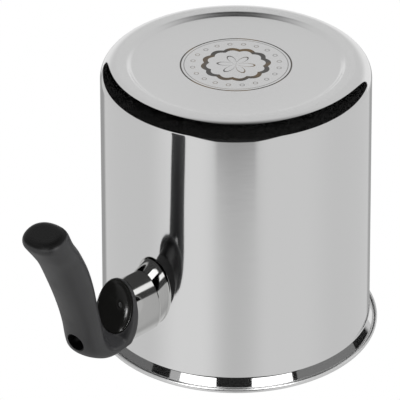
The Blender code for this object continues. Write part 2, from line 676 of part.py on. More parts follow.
def build():
    """Make every piece of the boiler."""
    steel = material("brushed steel", STEEL, 0.30, 1.0)
    polished = material("polished steel", POLISHED, 0.10, 1.0)
    outer_shell(steel)
    inner_pot(steel)
    base_core(material("aluminium", ALUMINIUM, 0.45, 1.0))
    base_liner(steel)
    neck_stub(polished)
    neck_sleeve(polished)
    neck_weld(polished)
    silicone = material("silicone", SILICONE, 0.60, 0.0)
    neck_seal(silicone)
    clamp_bridge(steel)
    clamp_nut(steel)
    clamp_washer(steel)
    clamp_screw(steel)
    handle(material("black bakelite", BLACK, 0.55, 0.0))
    whistle_cap(material("glossy black", GLOSS_BLACK, 0.12, 0.0))
    whistle_seal(silicone)
    whistle_discs(polished)


for stale in list(bpy.data.objects):
    bpy.data.objects.remove(stale)
CUTTER_LOOK = material("cutter", SILICONE, 0.60, 0.0)
build()
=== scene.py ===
"""Milk boiler: finishes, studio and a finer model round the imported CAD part.

The row frame is the part's own: metres, +Z up to the open rim, handle towards +X. The photograph shows
the pot upside down, so the camera stands below it and is rolled by half a turn.
"""
from __future__ import annotations

import json
import logging
import math
from dataclasses import dataclass, field
from enum import Enum
from typing import Iterable, Sequence

import bmesh
import bpy
from bmesh.types import BMesh
from bpy.types import Collection, Material, Node, NodeSocket, NodeTree, Object
from mathutils import Matrix, Vector

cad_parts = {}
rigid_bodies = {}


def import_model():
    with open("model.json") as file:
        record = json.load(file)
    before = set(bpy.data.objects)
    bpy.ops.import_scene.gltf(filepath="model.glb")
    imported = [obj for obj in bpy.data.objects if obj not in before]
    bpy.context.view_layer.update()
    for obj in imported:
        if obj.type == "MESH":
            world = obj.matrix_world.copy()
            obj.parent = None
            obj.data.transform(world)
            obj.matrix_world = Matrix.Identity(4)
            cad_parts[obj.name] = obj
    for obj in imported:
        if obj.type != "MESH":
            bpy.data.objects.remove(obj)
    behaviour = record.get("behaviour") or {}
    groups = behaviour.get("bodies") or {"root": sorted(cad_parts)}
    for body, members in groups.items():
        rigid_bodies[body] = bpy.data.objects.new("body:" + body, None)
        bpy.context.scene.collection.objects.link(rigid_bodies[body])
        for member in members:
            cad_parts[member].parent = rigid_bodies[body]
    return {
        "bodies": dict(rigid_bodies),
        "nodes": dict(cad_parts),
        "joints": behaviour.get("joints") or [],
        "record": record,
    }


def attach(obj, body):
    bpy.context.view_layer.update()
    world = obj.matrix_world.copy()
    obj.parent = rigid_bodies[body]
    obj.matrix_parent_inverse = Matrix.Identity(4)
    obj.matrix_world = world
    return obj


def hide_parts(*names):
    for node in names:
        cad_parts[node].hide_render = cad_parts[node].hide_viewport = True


LOG = logging.getLogger("milk_boiler")
Point = tuple[float, float]  # radius and height
Pair = tuple[float, float]  # limits, or two shares
Colour = tuple[float, float, float]
Rings = list[list[Vector]]
Objects = list[Object]


class Body(str, Enum):
    """CAD bodies that the pieces ride on."""

    POT = "pot"
    WHISTLE = "whistle"


class Brushing(Enum):
    """How a steel surface is finished."""

    MIRROR = "mirror"
    ROUND_AXIS = "round axis"


class Combine(Enum):
    """How a solid is combined with the handle."""

    JOIN = "UNION"
    CUT = "DIFFERENCE"


class Ray(Enum):
    """Kinds of rays that an object can be visible to."""

    CAMERA = "camera"
    DIFFUSE = "diffuse"
    GLOSSY = "glossy"
    TRANSMISSION = "transmission"
    VOLUME = "volume_scatter"
    SHADOW = "shadow"


class Group(Enum):
    """Groups of pieces that a light reaches."""

    PALE = "pale pieces"
    POT = "pot pieces"
    RIM = "rim pieces"
    NECK = "neck pieces"
    DISH = "dish pieces"
    HANDLE = "handle pieces"


class Shape:
    """Small helpers that turn rings and outlines into meshes."""

    TINY = 1e-9
    MERGE = 1e-7
    SHARPEST_MITRE = 0.5

    @staticmethod
    def ease(share: float) -> float:
        """Smooth step of a share from 0 to 1."""
        return share * share * (3.0 - 2.0 * share)

    @staticmethod
    def arc(centre: Point, radius: float, start: float, end: float, steps: int) -> list[Point]:
        """Points along an arc; its angles are in radians from the outward direction."""
        angles = [start + (end - start) * i / steps for i in range(steps + 1)]
        return [(centre[0] + radius * math.cos(a), centre[1] + radius * math.sin(a)) for a in angles]

    @staticmethod
    def sheet(path: Sequence[Point], left: float, right: float) -> list[Point]:
        """Closed outline of a sheet round an open path.

        Args:
            path: Points of the path as (radius, height).
            left: Thickness to the left of the path.
            right: Thickness to the right of it.

        Returns:
            The outline, up the left side and back down the right side.
        """
        sides: tuple[list[Point], list[Point]] = ([], [])
        for i, (r, z) in enumerate(path):
            before = path[max(i - 1, 0)]
            after = path[min(i + 1, len(path) - 1)]
            first = Vector((r - before[0], z - before[1]))
            second = Vector((after[0] - r, after[1] - z))
            first = first.normalized() if first.length > Shape.TINY else second.normalized()
            second = second.normalized() if second.length > Shape.TINY else first
            normal = Vector((-(first.y + second.y), first.x + second.x)).normalized()
            stretch = 1.0 / max(normal.dot(Vector((-first.y, first.x))), Shape.SHARPEST_MITRE)
            for side, offset in zip(sides, (left, -right)):
                moved = r + normal.x * offset * stretch
                side.append((max(moved, 0.0) if r > 0.0 else 0.0, z + normal.y * offset * stretch))
        return sides[0] + list(reversed(sides[1]))

    @staticmethod
    def turn(outline: Sequence[Point], steps: int, closed: bool) -> BMesh:
        """Spin an outline round the Z axis.

        Args:
            outline: Points as (radius, height).
            steps: Number of segments round the axis.
            closed: Whether the outline's last point joins its first.

        Returns:
            The spun mesh.
        """
        bm = bmesh.new()
        verts = [bm.verts.new((r, 0.0, z)) for r, z in outline]
        pairs = list(zip(verts, verts[1:]))
        if closed:
            pairs.append((verts[-1], verts[0]))
        edges = [bm.edges.new(pair) for pair in pairs]
        bmesh.ops.spin(bm, geom=verts + edges, cent=(0.0, 0.0, 0.0), axis=(0.0, 0.0, 1.0),
                       angle=2.0 * math.pi, steps=steps, use_merge=True)
        return bm

    @staticmethod
    def skin(rings: Sequence[Sequence[Vector]], closed: bool) -> BMesh:
        """Skin rings of as many points each.

        Args:
            rings: The rings in order.
            closed: True joins the last ring to the first, False caps both ends.

        Returns:
            The skinned mesh.
        """
        bm = bmesh.new()
        rows = [[bm.verts.new(p) for p in ring] for ring in rings]
        pairs = list(zip(rows, rows[1:]))
        if closed:
            pairs.append((rows[-1], rows[0]))
        for low, high in pairs:
            for i, corner in enumerate(low):
                j = (i + 1) % len(low)
                bm.faces.new((corner, low[j], high[j], high[i]))
        if not closed:
            bm.faces.new(list(reversed(rows[0])))
            bm.faces.new(rows[-1])
        return bm

    @staticmethod
    def curve(points: Sequence[Sequence[float]], steps: int) -> list[tuple[float, ...]]:
        """Smooth curve through tuples of numbers (Catmull-Rom).

        Args:
            points: The tuples to pass through.
            steps: Steps between each two.

        Returns:
            The curve's tuples, the given ones included.
        """
        result: list[tuple[float, ...]] = []
        last = len(points) - 1
        for i in range(last):
            span = (points[max(i - 1, 0)], points[i], points[i + 1], points[min(i + 2, last)])
            for k in range(steps):
                t = k / steps
                result.append(tuple(
                    b + t * (c - a) / 2.0 + t * t * (a - 2.5 * b + 2.0 * c - d / 2.0)
                    + t * t * t * (1.5 * (b - c) + (d - a) / 2.0)
                    for a, b, c, d in zip(*span)))
        result.append(tuple(points[last]))
        return result

    @staticmethod
    def piece(name: str, bm: BMesh, material: Material, sharp: float = 35.0) -> Object:
        """Turn a bmesh into a linked, smooth shaded object at the origin.

        Args:
            name: Name of the object.
            bm: The mesh, freed here.
            material: Its finish.
            sharp: Edges steeper than this many degrees stay sharp.

        Returns:
            The object.
        """
        bmesh.ops.remove_doubles(bm, verts=bm.verts, dist=Shape.MERGE)
        bmesh.ops.recalc_face_normals(bm, faces=bm.faces)
        mesh = bpy.data.meshes.new(name)
        bm.to_mesh(mesh)
        bm.free()
        mesh.shade_smooth()
        mesh.set_sharp_from_angle(angle=math.radians(sharp))
        mesh.materials.append(material)
        obj = bpy.data.objects.new(name, mesh)
        bpy.context.scene.collection.objects.link(obj)
        LOG.info("made %s with %d faces", name, len(mesh.polygons))
        return obj

    @staticmethod
    def baked(obj: Object) -> Object:
        """Replace an object's mesh by its evaluated one and drop its modifiers.

        Args:
            obj: The object.

        Returns:
            The same object.
        """
        graph = bpy.context.evaluated_depsgraph_get()
        mesh = bpy.data.meshes.new_from_object(obj.evaluated_get(graph))
        obj.modifiers.clear()
        obj.data = mesh
        mesh.shade_smooth()
        return obj


@dataclass(frozen=True)
class Plane:
    """The handle's plane: directions and ovals in it."""

    steps: int = 128

    def along(self, point: Vector, rise: float, distance: float) -> Vector:
        """Point moved along a direction that rises from +X by an angle."""
        return point + distance * Vector((math.cos(rise), 0.0, math.sin(rise)))

    def across(self, point: Vector, rise: float, distance: float) -> Vector:
        """Point moved square to that direction, towards +Z."""
        return point + distance * Vector((-math.sin(rise), 0.0, math.cos(rise)))

    def oval(self, centre: Vector, rise: float, half_height: float, half_width: float,
             power: float = 2.0, steps: int | None = None) -> list[Vector]:
        """Ring square to a direction; a power over 2 squares its corners.

        Args:
            centre: Centre of the ring.
            rise: Angle of the ring's axis.
            half_height: Half size in the plane.
            half_width: Half size along Y.
            power: Superellipse power.
            steps: Number of points, or the plane's own.

        Returns:
            The ring's points.
        """
        count = steps or self.steps
        points = []
        for i in range(count):
            angle = 2.0 * math.pi * i / count
            up = math.copysign(abs(math.cos(angle)) ** (2.0 / power), math.cos(angle)) * half_height
            side = math.copysign(abs(math.sin(angle)) ** (2.0 / power), math.sin(angle)) * half_width
            points.append(self.across(centre, rise, up) + Vector((0.0, side, 0.0)))
        return points

    def to_plane(self, points: Iterable[Vector], rise: float, at: Vector, plane_rise: float) -> list[Vector]:
        """Points slid along a direction until they lie in a plane square to another direction."""
        run, normal = self.along(Vector(), rise, 1.0), self.along(Vector(), plane_rise, 1.0)
        return [p + run * ((at - p).dot(normal) / run.dot(normal)) for p in points]


PLANE = Plane()


@dataclass(frozen=True)
class PotSizes:
    """Sizes of the pot, as in the CAD part, with a softer step round the base plate.

    Heights are measured up from the standing ring, and steps count the chords of curves.
    """

    height: float = 0.153
    wall_low: float = 0.0692
    wall_high: float = 0.0709
    sheet: float = 0.0008
    shoulder: float = 0.0084
    recess: float = 0.0552
    recess_depth: float = 0.0018
    recess_slope: float = 0.0010
    soft_slope_start: float = 2.6
    soft_slope_width: float = 3.6
    flare_height: float = 0.0076
    flare_radius: float = 0.0020
    flare_turn: float = math.radians(28.0)
    lip: float = 0.0042
    bead: float = 0.0018
    bead_overhang: float = 0.0024
    bead_start: float = math.radians(152.0)
    bead_roll: float = math.radians(190.0)
    jacket: float = 0.0060
    floor: float = 0.0177
    inner_corner: float = 0.0080
    step_height: float = 0.0110
    step_below_flare: float = 0.0044
    gap: float = 0.0003
    corner_steps: int = 40
    flare_steps: int = 12
    slope_steps: int = 12
    wall_steps: int = 24
    inner_corner_steps: int = 20
    inner_wall_steps: int = 8
    inner_step_steps: int = 16
    inner_flare_steps: int = 10
    bead_steps: int = 40

    def z(self, above_ring: float) -> float:
        """Z of a height above the standing ring."""
        return above_ring - self.recess_depth

    def wall_radius(self, above_ring: float) -> float:
        """Outer radius of the drafted wall at a height."""
        share = (above_ring - self.shoulder) / (self.height - self.flare_height - self.shoulder)
        return self.wall_low + share * (self.wall_high - self.wall_low)


@dataclass(frozen=True)
class NeckSizes:
    """Sizes of the neck, as in the CAD part; the weld's sharp angle is in degrees."""

    height: float = 0.1019
    half_height: float = 0.0178
    half_width: float = 0.0103
    sheet: float = 0.0009
    stub: float = 0.0074
    stub_rise: float = math.radians(18.0)
    sleeve: float = 0.0182
    sleeve_rise: float = math.radians(-7.0)
    seal: float = 0.0008
    gap: float = 0.0003
    weld: float = 0.0009
    round_off: float = 0.000225
    mitre_gap: float = 0.2
    seal_gap: float = 0.3
    weld_steps: int = 8
    weld_sharp: float = 60.0


@dataclass(frozen=True)
class HandleSizes:
    """Sizes of the handle, as in the CAD part; the tip's turn and the sharp angle are in degrees.

    A station holds the arm's outer edge and inner edge, each as shares of its reach and drop, and the share
    of its half width.
    """

    collar_half_height: float = 0.0197
    collar_half_width: float = 0.0126
    edge: float = 0.0010
    front_edge: float = 0.0003
    spigot: float = 0.0125
    spigot_shrink: float = 0.0013
    arm_reach: float = 0.0650
    arm_drop: float = 0.0960
    arm_half_width: float = 0.0120
    arm_top: float = 0.0191
    power: float = 2.3
    tip_round: float = 0.0045
    bore: float = 0.0049
    bore_lift: float = 0.0006
    bore_rise: float = math.radians(-2.0)
    bore_start: float = 0.0150
    front_share: float = 0.84
    arm_points: int = 64
    station_steps: int = 6
    tip_steps: int = 8
    tip_turn: float = 9.5
    spigot_overlap: float = 0.002
    blend_rounds: int = 45
    edge_rounds: int = 3
    sharp: float = 48.0
    station_shares: tuple[tuple[float, ...], ...] = (
        (0.044, 0.036, 0.032, 0.118, 0.850),
        (0.110, 0.040, 0.104, 0.116, 0.875),
        (0.218, 0.041, 0.187, 0.115, 0.900),
        (0.338, 0.055, 0.252, 0.128, 0.917),
        (0.425, 0.082, 0.295, 0.157, 0.917),
        (0.507, 0.125, 0.319, 0.202, 0.908),
        (0.544, 0.188, 0.332, 0.250, 0.892),
        (0.570, 0.283, 0.352, 0.326, 0.883),
        (0.613, 0.384, 0.382, 0.426, 0.875),
        (0.675, 0.501, 0.419, 0.549, 0.900),
        (0.747, 0.621, 0.479, 0.675, 0.933),
        (0.821, 0.735, 0.572, 0.801, 0.958),
        (0.890, 0.807, 0.647, 0.879, 0.992),
        (0.987, 0.893, 0.687, 0.943, 0.992),
    )


@dataclass(frozen=True)
class WhistleSizes:
    """Sizes of the whistle stopper and its mouth, as in the CAD part.

    The dish goes in from its lip through shares of its half size and depth. The sharp angle is in degrees.
    """

    from_collar: float = 0.0047
    below_collar: float = 0.0050
    rise: float = math.radians(-15.0)
    half_height: float = 0.0143
    half_width: float = 0.0108
    lip: float = 0.0007
    edge_depth: float = 0.0011
    dish_depth: float = 0.0042
    dish_floor: float = 0.0010
    plug_half_height: float = 0.0104
    plug_half_width: float = 0.0066
    plug_start: float = 0.0034
    plug_end: float = 0.0082
    plug_clearance: float = 0.0006
    chamber: float = 0.0110
    bore: float = 0.0052
    hole: float = 0.0015
    plug_taper: float = 0.0007
    lip_lift: float = 0.35
    lip_steps: int = 8
    sharp: float = 50.0
    back_steps: int = 6
    dish_shares: tuple[Point, ...] = ((0.93, 0.16), (0.80, 0.44), (0.60, 0.73), (0.38, 0.92), (0.24, 1.0))
    dish_guide: Point = (0.12, 1.0)
    dish_steps: int = 8
    mouth_front: float = 0.004
    mouth_fit: float = 0.0001
    plug_seat: float = 0.0004


class Signal:
    """Value in a shader graph; arithmetic on it adds math nodes."""

    NOISE_SPAN = (0.3, 0.7)

    def __init__(self, nodes: Nodes, socket: NodeSocket) -> None:
        """Wrap an output socket."""
        self.nodes = nodes
        self.socket = socket

    def __add__(self, other: object) -> Signal:
        """Sum."""
        return self.nodes.math("ADD", self, other)

    __radd__ = __add__

    def __sub__(self, other: object) -> Signal:
        """Difference."""
        return self.nodes.math("SUBTRACT", self, other)

    def __rsub__(self, other: object) -> Signal:
        """Difference from a number."""
        return self.nodes.math("SUBTRACT", other, self)

    def __mul__(self, other: object) -> Signal:
        """Product."""
        return self.nodes.math("MULTIPLY", self, other)

    def __abs__(self) -> Signal:
        """Size without sign."""
        return self.nodes.math("ABSOLUTE", self)

    def smooth(self, low: float, high: float, to_low: float = 0.0, to_high: float = 1.0) -> Signal:
        """Smooth step between two limits."""
        return self.nodes.add("ShaderNodeMapRange", self, low, high, to_low, to_high,
                              interpolation_type="SMOOTHSTEP", clamp=True)

    def band(self, centre: float, half: float, soft: float) -> Signal:
        """1 within half of a centre, 0 beyond half plus soft."""
        return abs(self - centre).smooth(half, half + soft, 1.0, 0.0)

    def vary(self, value: float, spread: float) -> Signal:
        """Value that this noise moves up and down by a share of it."""
        return self.smooth(*self.NOISE_SPAN, value * (1.0 - spread), value * (1.0 + spread))


class Nodes:
    """Builder of a shader graph."""

    def __init__(self, tree: NodeTree) -> None:
        """Work on a node tree."""
        self.tree = tree

    def feed(self, socket: NodeSocket, value: object) -> None:
        """Link a socket or set its value.

        Args:
            socket: The input.
            value: Signal, number or colour.
        """
        if isinstance(value, Signal):
            self.tree.links.new(value.socket, socket)
        else:
            socket.default_value = value

    def add(self, kind: str, *values: object, at: Sequence[int | str] = (), out: int | str = 0,
            **settings: object) -> Signal:
        """Add a node.

        Args:
            kind: Class of the node.
            values: What its inputs get.
            at: The inputs that get them, or else the first ones.
            out: The output to go on from.
            settings: Plain properties of the node.

        Returns:
            The output.
        """
        node = self.tree.nodes.new(kind)
        for key, value in settings.items():
            setattr(node, key, value)
        for key, value in zip(at or range(len(values)), values):
            self.feed(node.inputs[key], value)
        return Signal(self, node.outputs[out])

    def surface(self, shader: Signal) -> None:
        """Make a shader the material's surface."""
        self.feed(self.tree.nodes["Material Output"].inputs[0], shader)

    def math(self, operation: str, *values: object) -> Signal:
        """Math node."""
        return self.add("ShaderNodeMath", *values, operation=operation)

    def length(self, x: Signal, y: Signal) -> Signal:
        """Length of a vector of two parts."""
        return self.math("SQRT", x * x + y * y)

    def mix(self, factor: object, first: object, second: object) -> Signal:
        """Mix of two colours."""
        return self.add("ShaderNodeMix", factor, first, second, at=(0, 6, 7), out=2, data_type="RGBA")

    def blend(self, factor: object, first: object, second: object) -> Signal:
        """Mix of two numbers."""
        return self.add("ShaderNodeMix", factor, first, second, at=(0, 2, 3), data_type="FLOAT")

    def split(self, vector: Signal) -> tuple[Signal, ...]:
        """X, Y and Z of a vector."""
        node = self.add("ShaderNodeSeparateXYZ", vector).socket.node
        return tuple(Signal(self, socket) for socket in node.outputs)

    def join(self, x: object, y: object, z: object) -> Signal:
        """Vector of three values."""
        return self.add("ShaderNodeCombineXYZ", x, y, z)

    def coordinate(self, kind: str) -> Signal:
        """Texture coordinate."""
        return self.add("ShaderNodeTexCoord", out=kind)

    def noise(self, vector: Signal, scale: float, detail: float = 2.0) -> Signal:
        """Noise value."""
        return self.add("ShaderNodeTexNoise", vector, scale, detail, at=("Vector", "Scale", "Detail"),
                        out="Fac")

    def emission(self, strength: object = 1.0) -> Signal:
        """White glow."""
        return self.add("ShaderNodeEmission", strength, at=("Strength",))


def fresh_material(name: str) -> tuple[Material, Nodes, Node]:
    """New node material.

    Args:
        name: Its name.

    Returns:
        The material, its node builder and its Principled shader.
    """
    material = bpy.data.materials.new(name)
    material.use_nodes = True
    return material, Nodes(material.node_tree), material.node_tree.nodes["Principled BSDF"]


@dataclass(frozen=True)
class Ornament:
    """Plain etched rosette on the base: rings, a ring of beads, scallops and a six petalled flower.

    The fine ring, the beads and the petals give the share of the line's width and their strength.
    """

    outer: float = 0.0282
    line: float = 0.00035
    soft: float = 0.00012
    ring_gap: float = 0.0017
    fine_ring: Pair = (0.4, 0.7)
    beads: int = 20
    bead_ring: float = 0.0222
    bead: float = 0.0011
    bead_line: Pair = (0.5, 0.6)
    scallops: int = 12
    scallop_ring: float = 0.0150
    scallop_depth: float = 0.0016
    scallop_width: float = 0.0013
    petals: int = 6
    petal: float = 0.0095
    petal_line: Pair = (1.3, 0.9)

    def factor(self, nodes: Nodes, x: Signal, y: Signal, angle: Signal) -> Signal:
        """Graph of the etched share at a place.

        Args:
            nodes: Node builder.
            x: X of the place.
            y: Y of the place.
            angle: Its angle round Z.

        Returns:
            1 on the etching and 0 off it.
        """
        def line(value: Signal, centre: float, look: Pair) -> Signal:
            """Line where a value is near a centre."""
            share, strength = look
            return value.band(centre, self.line * share, self.soft) * strength

        radius = nodes.length(x, y)
        turn = 2.0 * math.pi / self.beads
        local = nodes.math("FLOORED_MODULO", angle, turn) - turn / 2.0
        bead = nodes.length(local * self.bead_ring, radius - self.bead_ring)
        wave = abs(nodes.math("SINE", angle * (self.scallops / 2.0))) * self.scallop_depth
        reach = abs(nodes.math("COSINE", angle * (self.petals / 2.0))) * self.petal
        total = radius.band(self.outer, self.line, self.soft)
        for part in (line(radius, self.outer - self.ring_gap, self.fine_ring),
                     line(bead, self.bead, self.bead_line),
                     (radius - wave).band(self.scallop_ring, self.scallop_width, self.soft),
                     line(radius - reach, 0.0, self.petal_line)):
            total = nodes.math("MAXIMUM", total, part)
        return total


@dataclass(frozen=True)
class SteelFinish:
    """Stainless steel, mirror polished or brushed round the pot's axis."""

    name: str
    tint: Colour = (0.80, 0.80, 0.80)
    roughness: float = 0.06
    brushing: Brushing = Brushing.MIRROR
    streaks: float = 0.0
    ornament: bool = False
    metal: float = 1.0

    STREAK_ALONG = 0.5
    STREAK_ACROSS = 90.0
    STREAK_SCALE = 14.0
    STREAK_DETAIL = 4.0
    ANISOTROPY = 0.6
    ANISOTROPY_TURN = 0.25
    PATCH_SCALE = 180.0
    PATCH_SPREAD = 0.2
    GREY_INK = (0.13, 0.125, 0.12, 1.0)
    WARM_INK = (0.24, 0.17, 0.10, 1.0)
    INK_SCALE = 60.0
    INK_SPAN = (0.45, 0.62)
    INK_ROUGHNESS = 0.2

    def build(self) -> Material:
        """Make the material.

        Returns:
            The material.
        """
        material, nodes, shader = fresh_material(self.name)
        place = nodes.coordinate("Object")
        x, y, z = nodes.split(place)
        angle = nodes.math("ARCTAN2", y, x)
        colour: object = (*self.tint, 1.0)
        if self.brushing is Brushing.ROUND_AXIS:
            run = nodes.join(angle * self.STREAK_ALONG, nodes.length(x, y) * self.STREAK_ACROSS,
                             z * self.STREAK_ACROSS)
            streak = nodes.noise(run, self.STREAK_SCALE, self.STREAK_DETAIL)
            roughness = streak.vary(self.roughness, self.streaks)
            shader.inputs["Anisotropic"].default_value = self.ANISOTROPY
            shader.inputs["Anisotropic Rotation"].default_value = self.ANISOTROPY_TURN
            nodes.feed(shader.inputs["Tangent"],
                       nodes.add("ShaderNodeTangent", direction_type="RADIAL", axis="Z"))
        else:
            roughness = nodes.noise(place, self.PATCH_SCALE).vary(self.roughness, self.PATCH_SPREAD)
        if self.ornament:
            mark = Ornament().factor(nodes, x, y, angle)
            warm = nodes.noise(place, self.INK_SCALE, 1.0).smooth(*self.INK_SPAN)
            colour = nodes.mix(mark, colour, nodes.mix(warm, self.GREY_INK, self.WARM_INK))
            roughness = roughness + mark * self.INK_ROUGHNESS
        nodes.feed(shader.inputs["Base Color"], colour)
        nodes.feed(shader.inputs["Roughness"], roughness)
        shader.inputs["Metallic"].default_value = self.metal
        return material


@dataclass(frozen=True)
class HandlePaintedShade:
    """Where the handle's polished end and its bend hole lie, which get painted shade: the end's darker colour
    is a painted dark reflection, the hole's a painted shadow in the bore. Pairs are the limits of a soft
    edge.
    """

    end_slope: Pair = (0.24, -0.97)
    end_facing: Pair = (0.40, 0.75)
    end_beyond: Pair = (0.125, 0.130)
    end_below: Pair = (0.040, 0.045)
    hole_middle: Point = (0.1255, 0.1003)
    hole_slope: float = -0.035
    hole_edge: Pair = (0.0050, 0.0052)
    hole_beyond: Pair = (0.110, 0.113)

    def factor(self, nodes: Nodes, place: Signal) -> Signal:
        """Graph of the painted shade's share: 1 on the end face and on the hole's wall, 0 off them.

        Args:
            nodes: Node builder.
            place: The place.

        Returns:
            The share.
        """
        x, y, z = nodes.split(place)
        nx, _, nz = nodes.split(nodes.coordinate("Normal"))
        # End face: its darker colour is a painted dark reflection of the room; it is also made smoother and
        # less shiny.
        facing = (nx * self.end_slope[0] + nz * self.end_slope[1]).smooth(*self.end_facing)
        end = facing * (x.smooth(*self.end_beyond) * z.smooth(*self.end_below, 1.0, 0.0))
        middle_x, middle_z = self.hole_middle
        # Bore's wall: its darker colour is a painted shadow inside the hole.
        lift = z - middle_z - (x - middle_x) * self.hole_slope
        hole = nodes.length(y, lift).smooth(*self.hole_edge, 1.0, 0.0) * x.smooth(*self.hole_beyond)
        return nodes.math("MAXIMUM", end, hole)


@dataclass(frozen=True)
class MouldedFinish:
    """Black moulded plastic or rubber with a fine grain; the handle's one also gets painted shade on its end
    face and in its bore.
    """

    name: str
    tint: Colour
    roughness: float
    grain: float = 0.0
    shine: float = 0.5
    marks: HandlePaintedShade | None = None

    # Colour of the painted shade: a painted dark reflection on the handle's end face and a painted shadow in
    # its bore.
    MARK_COLOUR = (0.005, 0.005, 0.005, 1.0)
    MARK_SMOOTHER = -0.2
    MARK_SHINE = 0.1
    PATCH_SCALE = 90.0
    PATCH_SPREAD = 0.1
    GRAIN_SCALE = 1800.0
    GRAIN_DEPTH = 0.0001

    def build(self) -> Material:
        """Make the material.

        Returns:
            The material.
        """
        material, nodes, shader = fresh_material(self.name)
        place = nodes.coordinate("Object")
        colour: object = (*self.tint, 1.0)
        shine: object = self.shine
        roughness = nodes.noise(place, self.PATCH_SCALE).vary(self.roughness, self.PATCH_SPREAD)
        # Painted shade: the end face and the bore get a darker colour, and also less roughness and less
        # shine.
        if self.marks:
            mark = self.marks.factor(nodes, place)
            colour = nodes.mix(mark, colour, self.MARK_COLOUR)
            roughness = roughness + mark * self.MARK_SMOOTHER
            shine = mark.smooth(0.0, 1.0, self.shine, self.MARK_SHINE)
        for name, value in (("Base Color", colour), ("Roughness", roughness), ("Specular IOR Level", shine)):
            nodes.feed(shader.inputs[name], value)
        if self.grain > 0.0:
            fine = nodes.noise(place, self.GRAIN_SCALE)
            bump = nodes.add("ShaderNodeBump", self.grain, self.GRAIN_DEPTH, fine,
                             at=("Strength", "Distance", "Height"))
            nodes.feed(shader.inputs["Normal"], bump)
        return material


class Finishes:
    """All the finishes, built once."""

    def __init__(self) -> None:
        """Make the materials."""
        round_axis = Brushing.ROUND_AXIS
        self.wall = SteelFinish("wall steel", roughness=0.085, brushing=round_axis, streaks=0.06).build()
        self.base = SteelFinish("base steel", roughness=0.24, brushing=round_axis, streaks=0.10,
                                ornament=True).build()
        self.polished = SteelFinish("polished steel", roughness=0.05, metal=0.97).build()
        self.tube = SteelFinish("tube steel", (0.62, 0.62, 0.61), 0.06).build()
        self.dull = SteelFinish("dull steel", (0.30, 0.30, 0.30), 0.5).build()
        self.inner = SteelFinish("inner steel", roughness=0.22, brushing=round_axis, streaks=0.15).build()
        self.aluminium = SteelFinish("aluminium", (0.80, 0.81, 0.82), 0.40).build()
        # The handle gets painted shade on its end face and in its bore.
        self.handle = MouldedFinish("black phenolic", (0.020, 0.020, 0.021), 0.42, 0.15,
                                    marks=HandlePaintedShade()).build()
        self.cap = MouldedFinish("glossy black", (0.016, 0.016, 0.015), 0.19, shine=0.1).build()
        self.silicone = MouldedFinish("silicone", (0.03, 0.03, 0.03), 0.6).build()


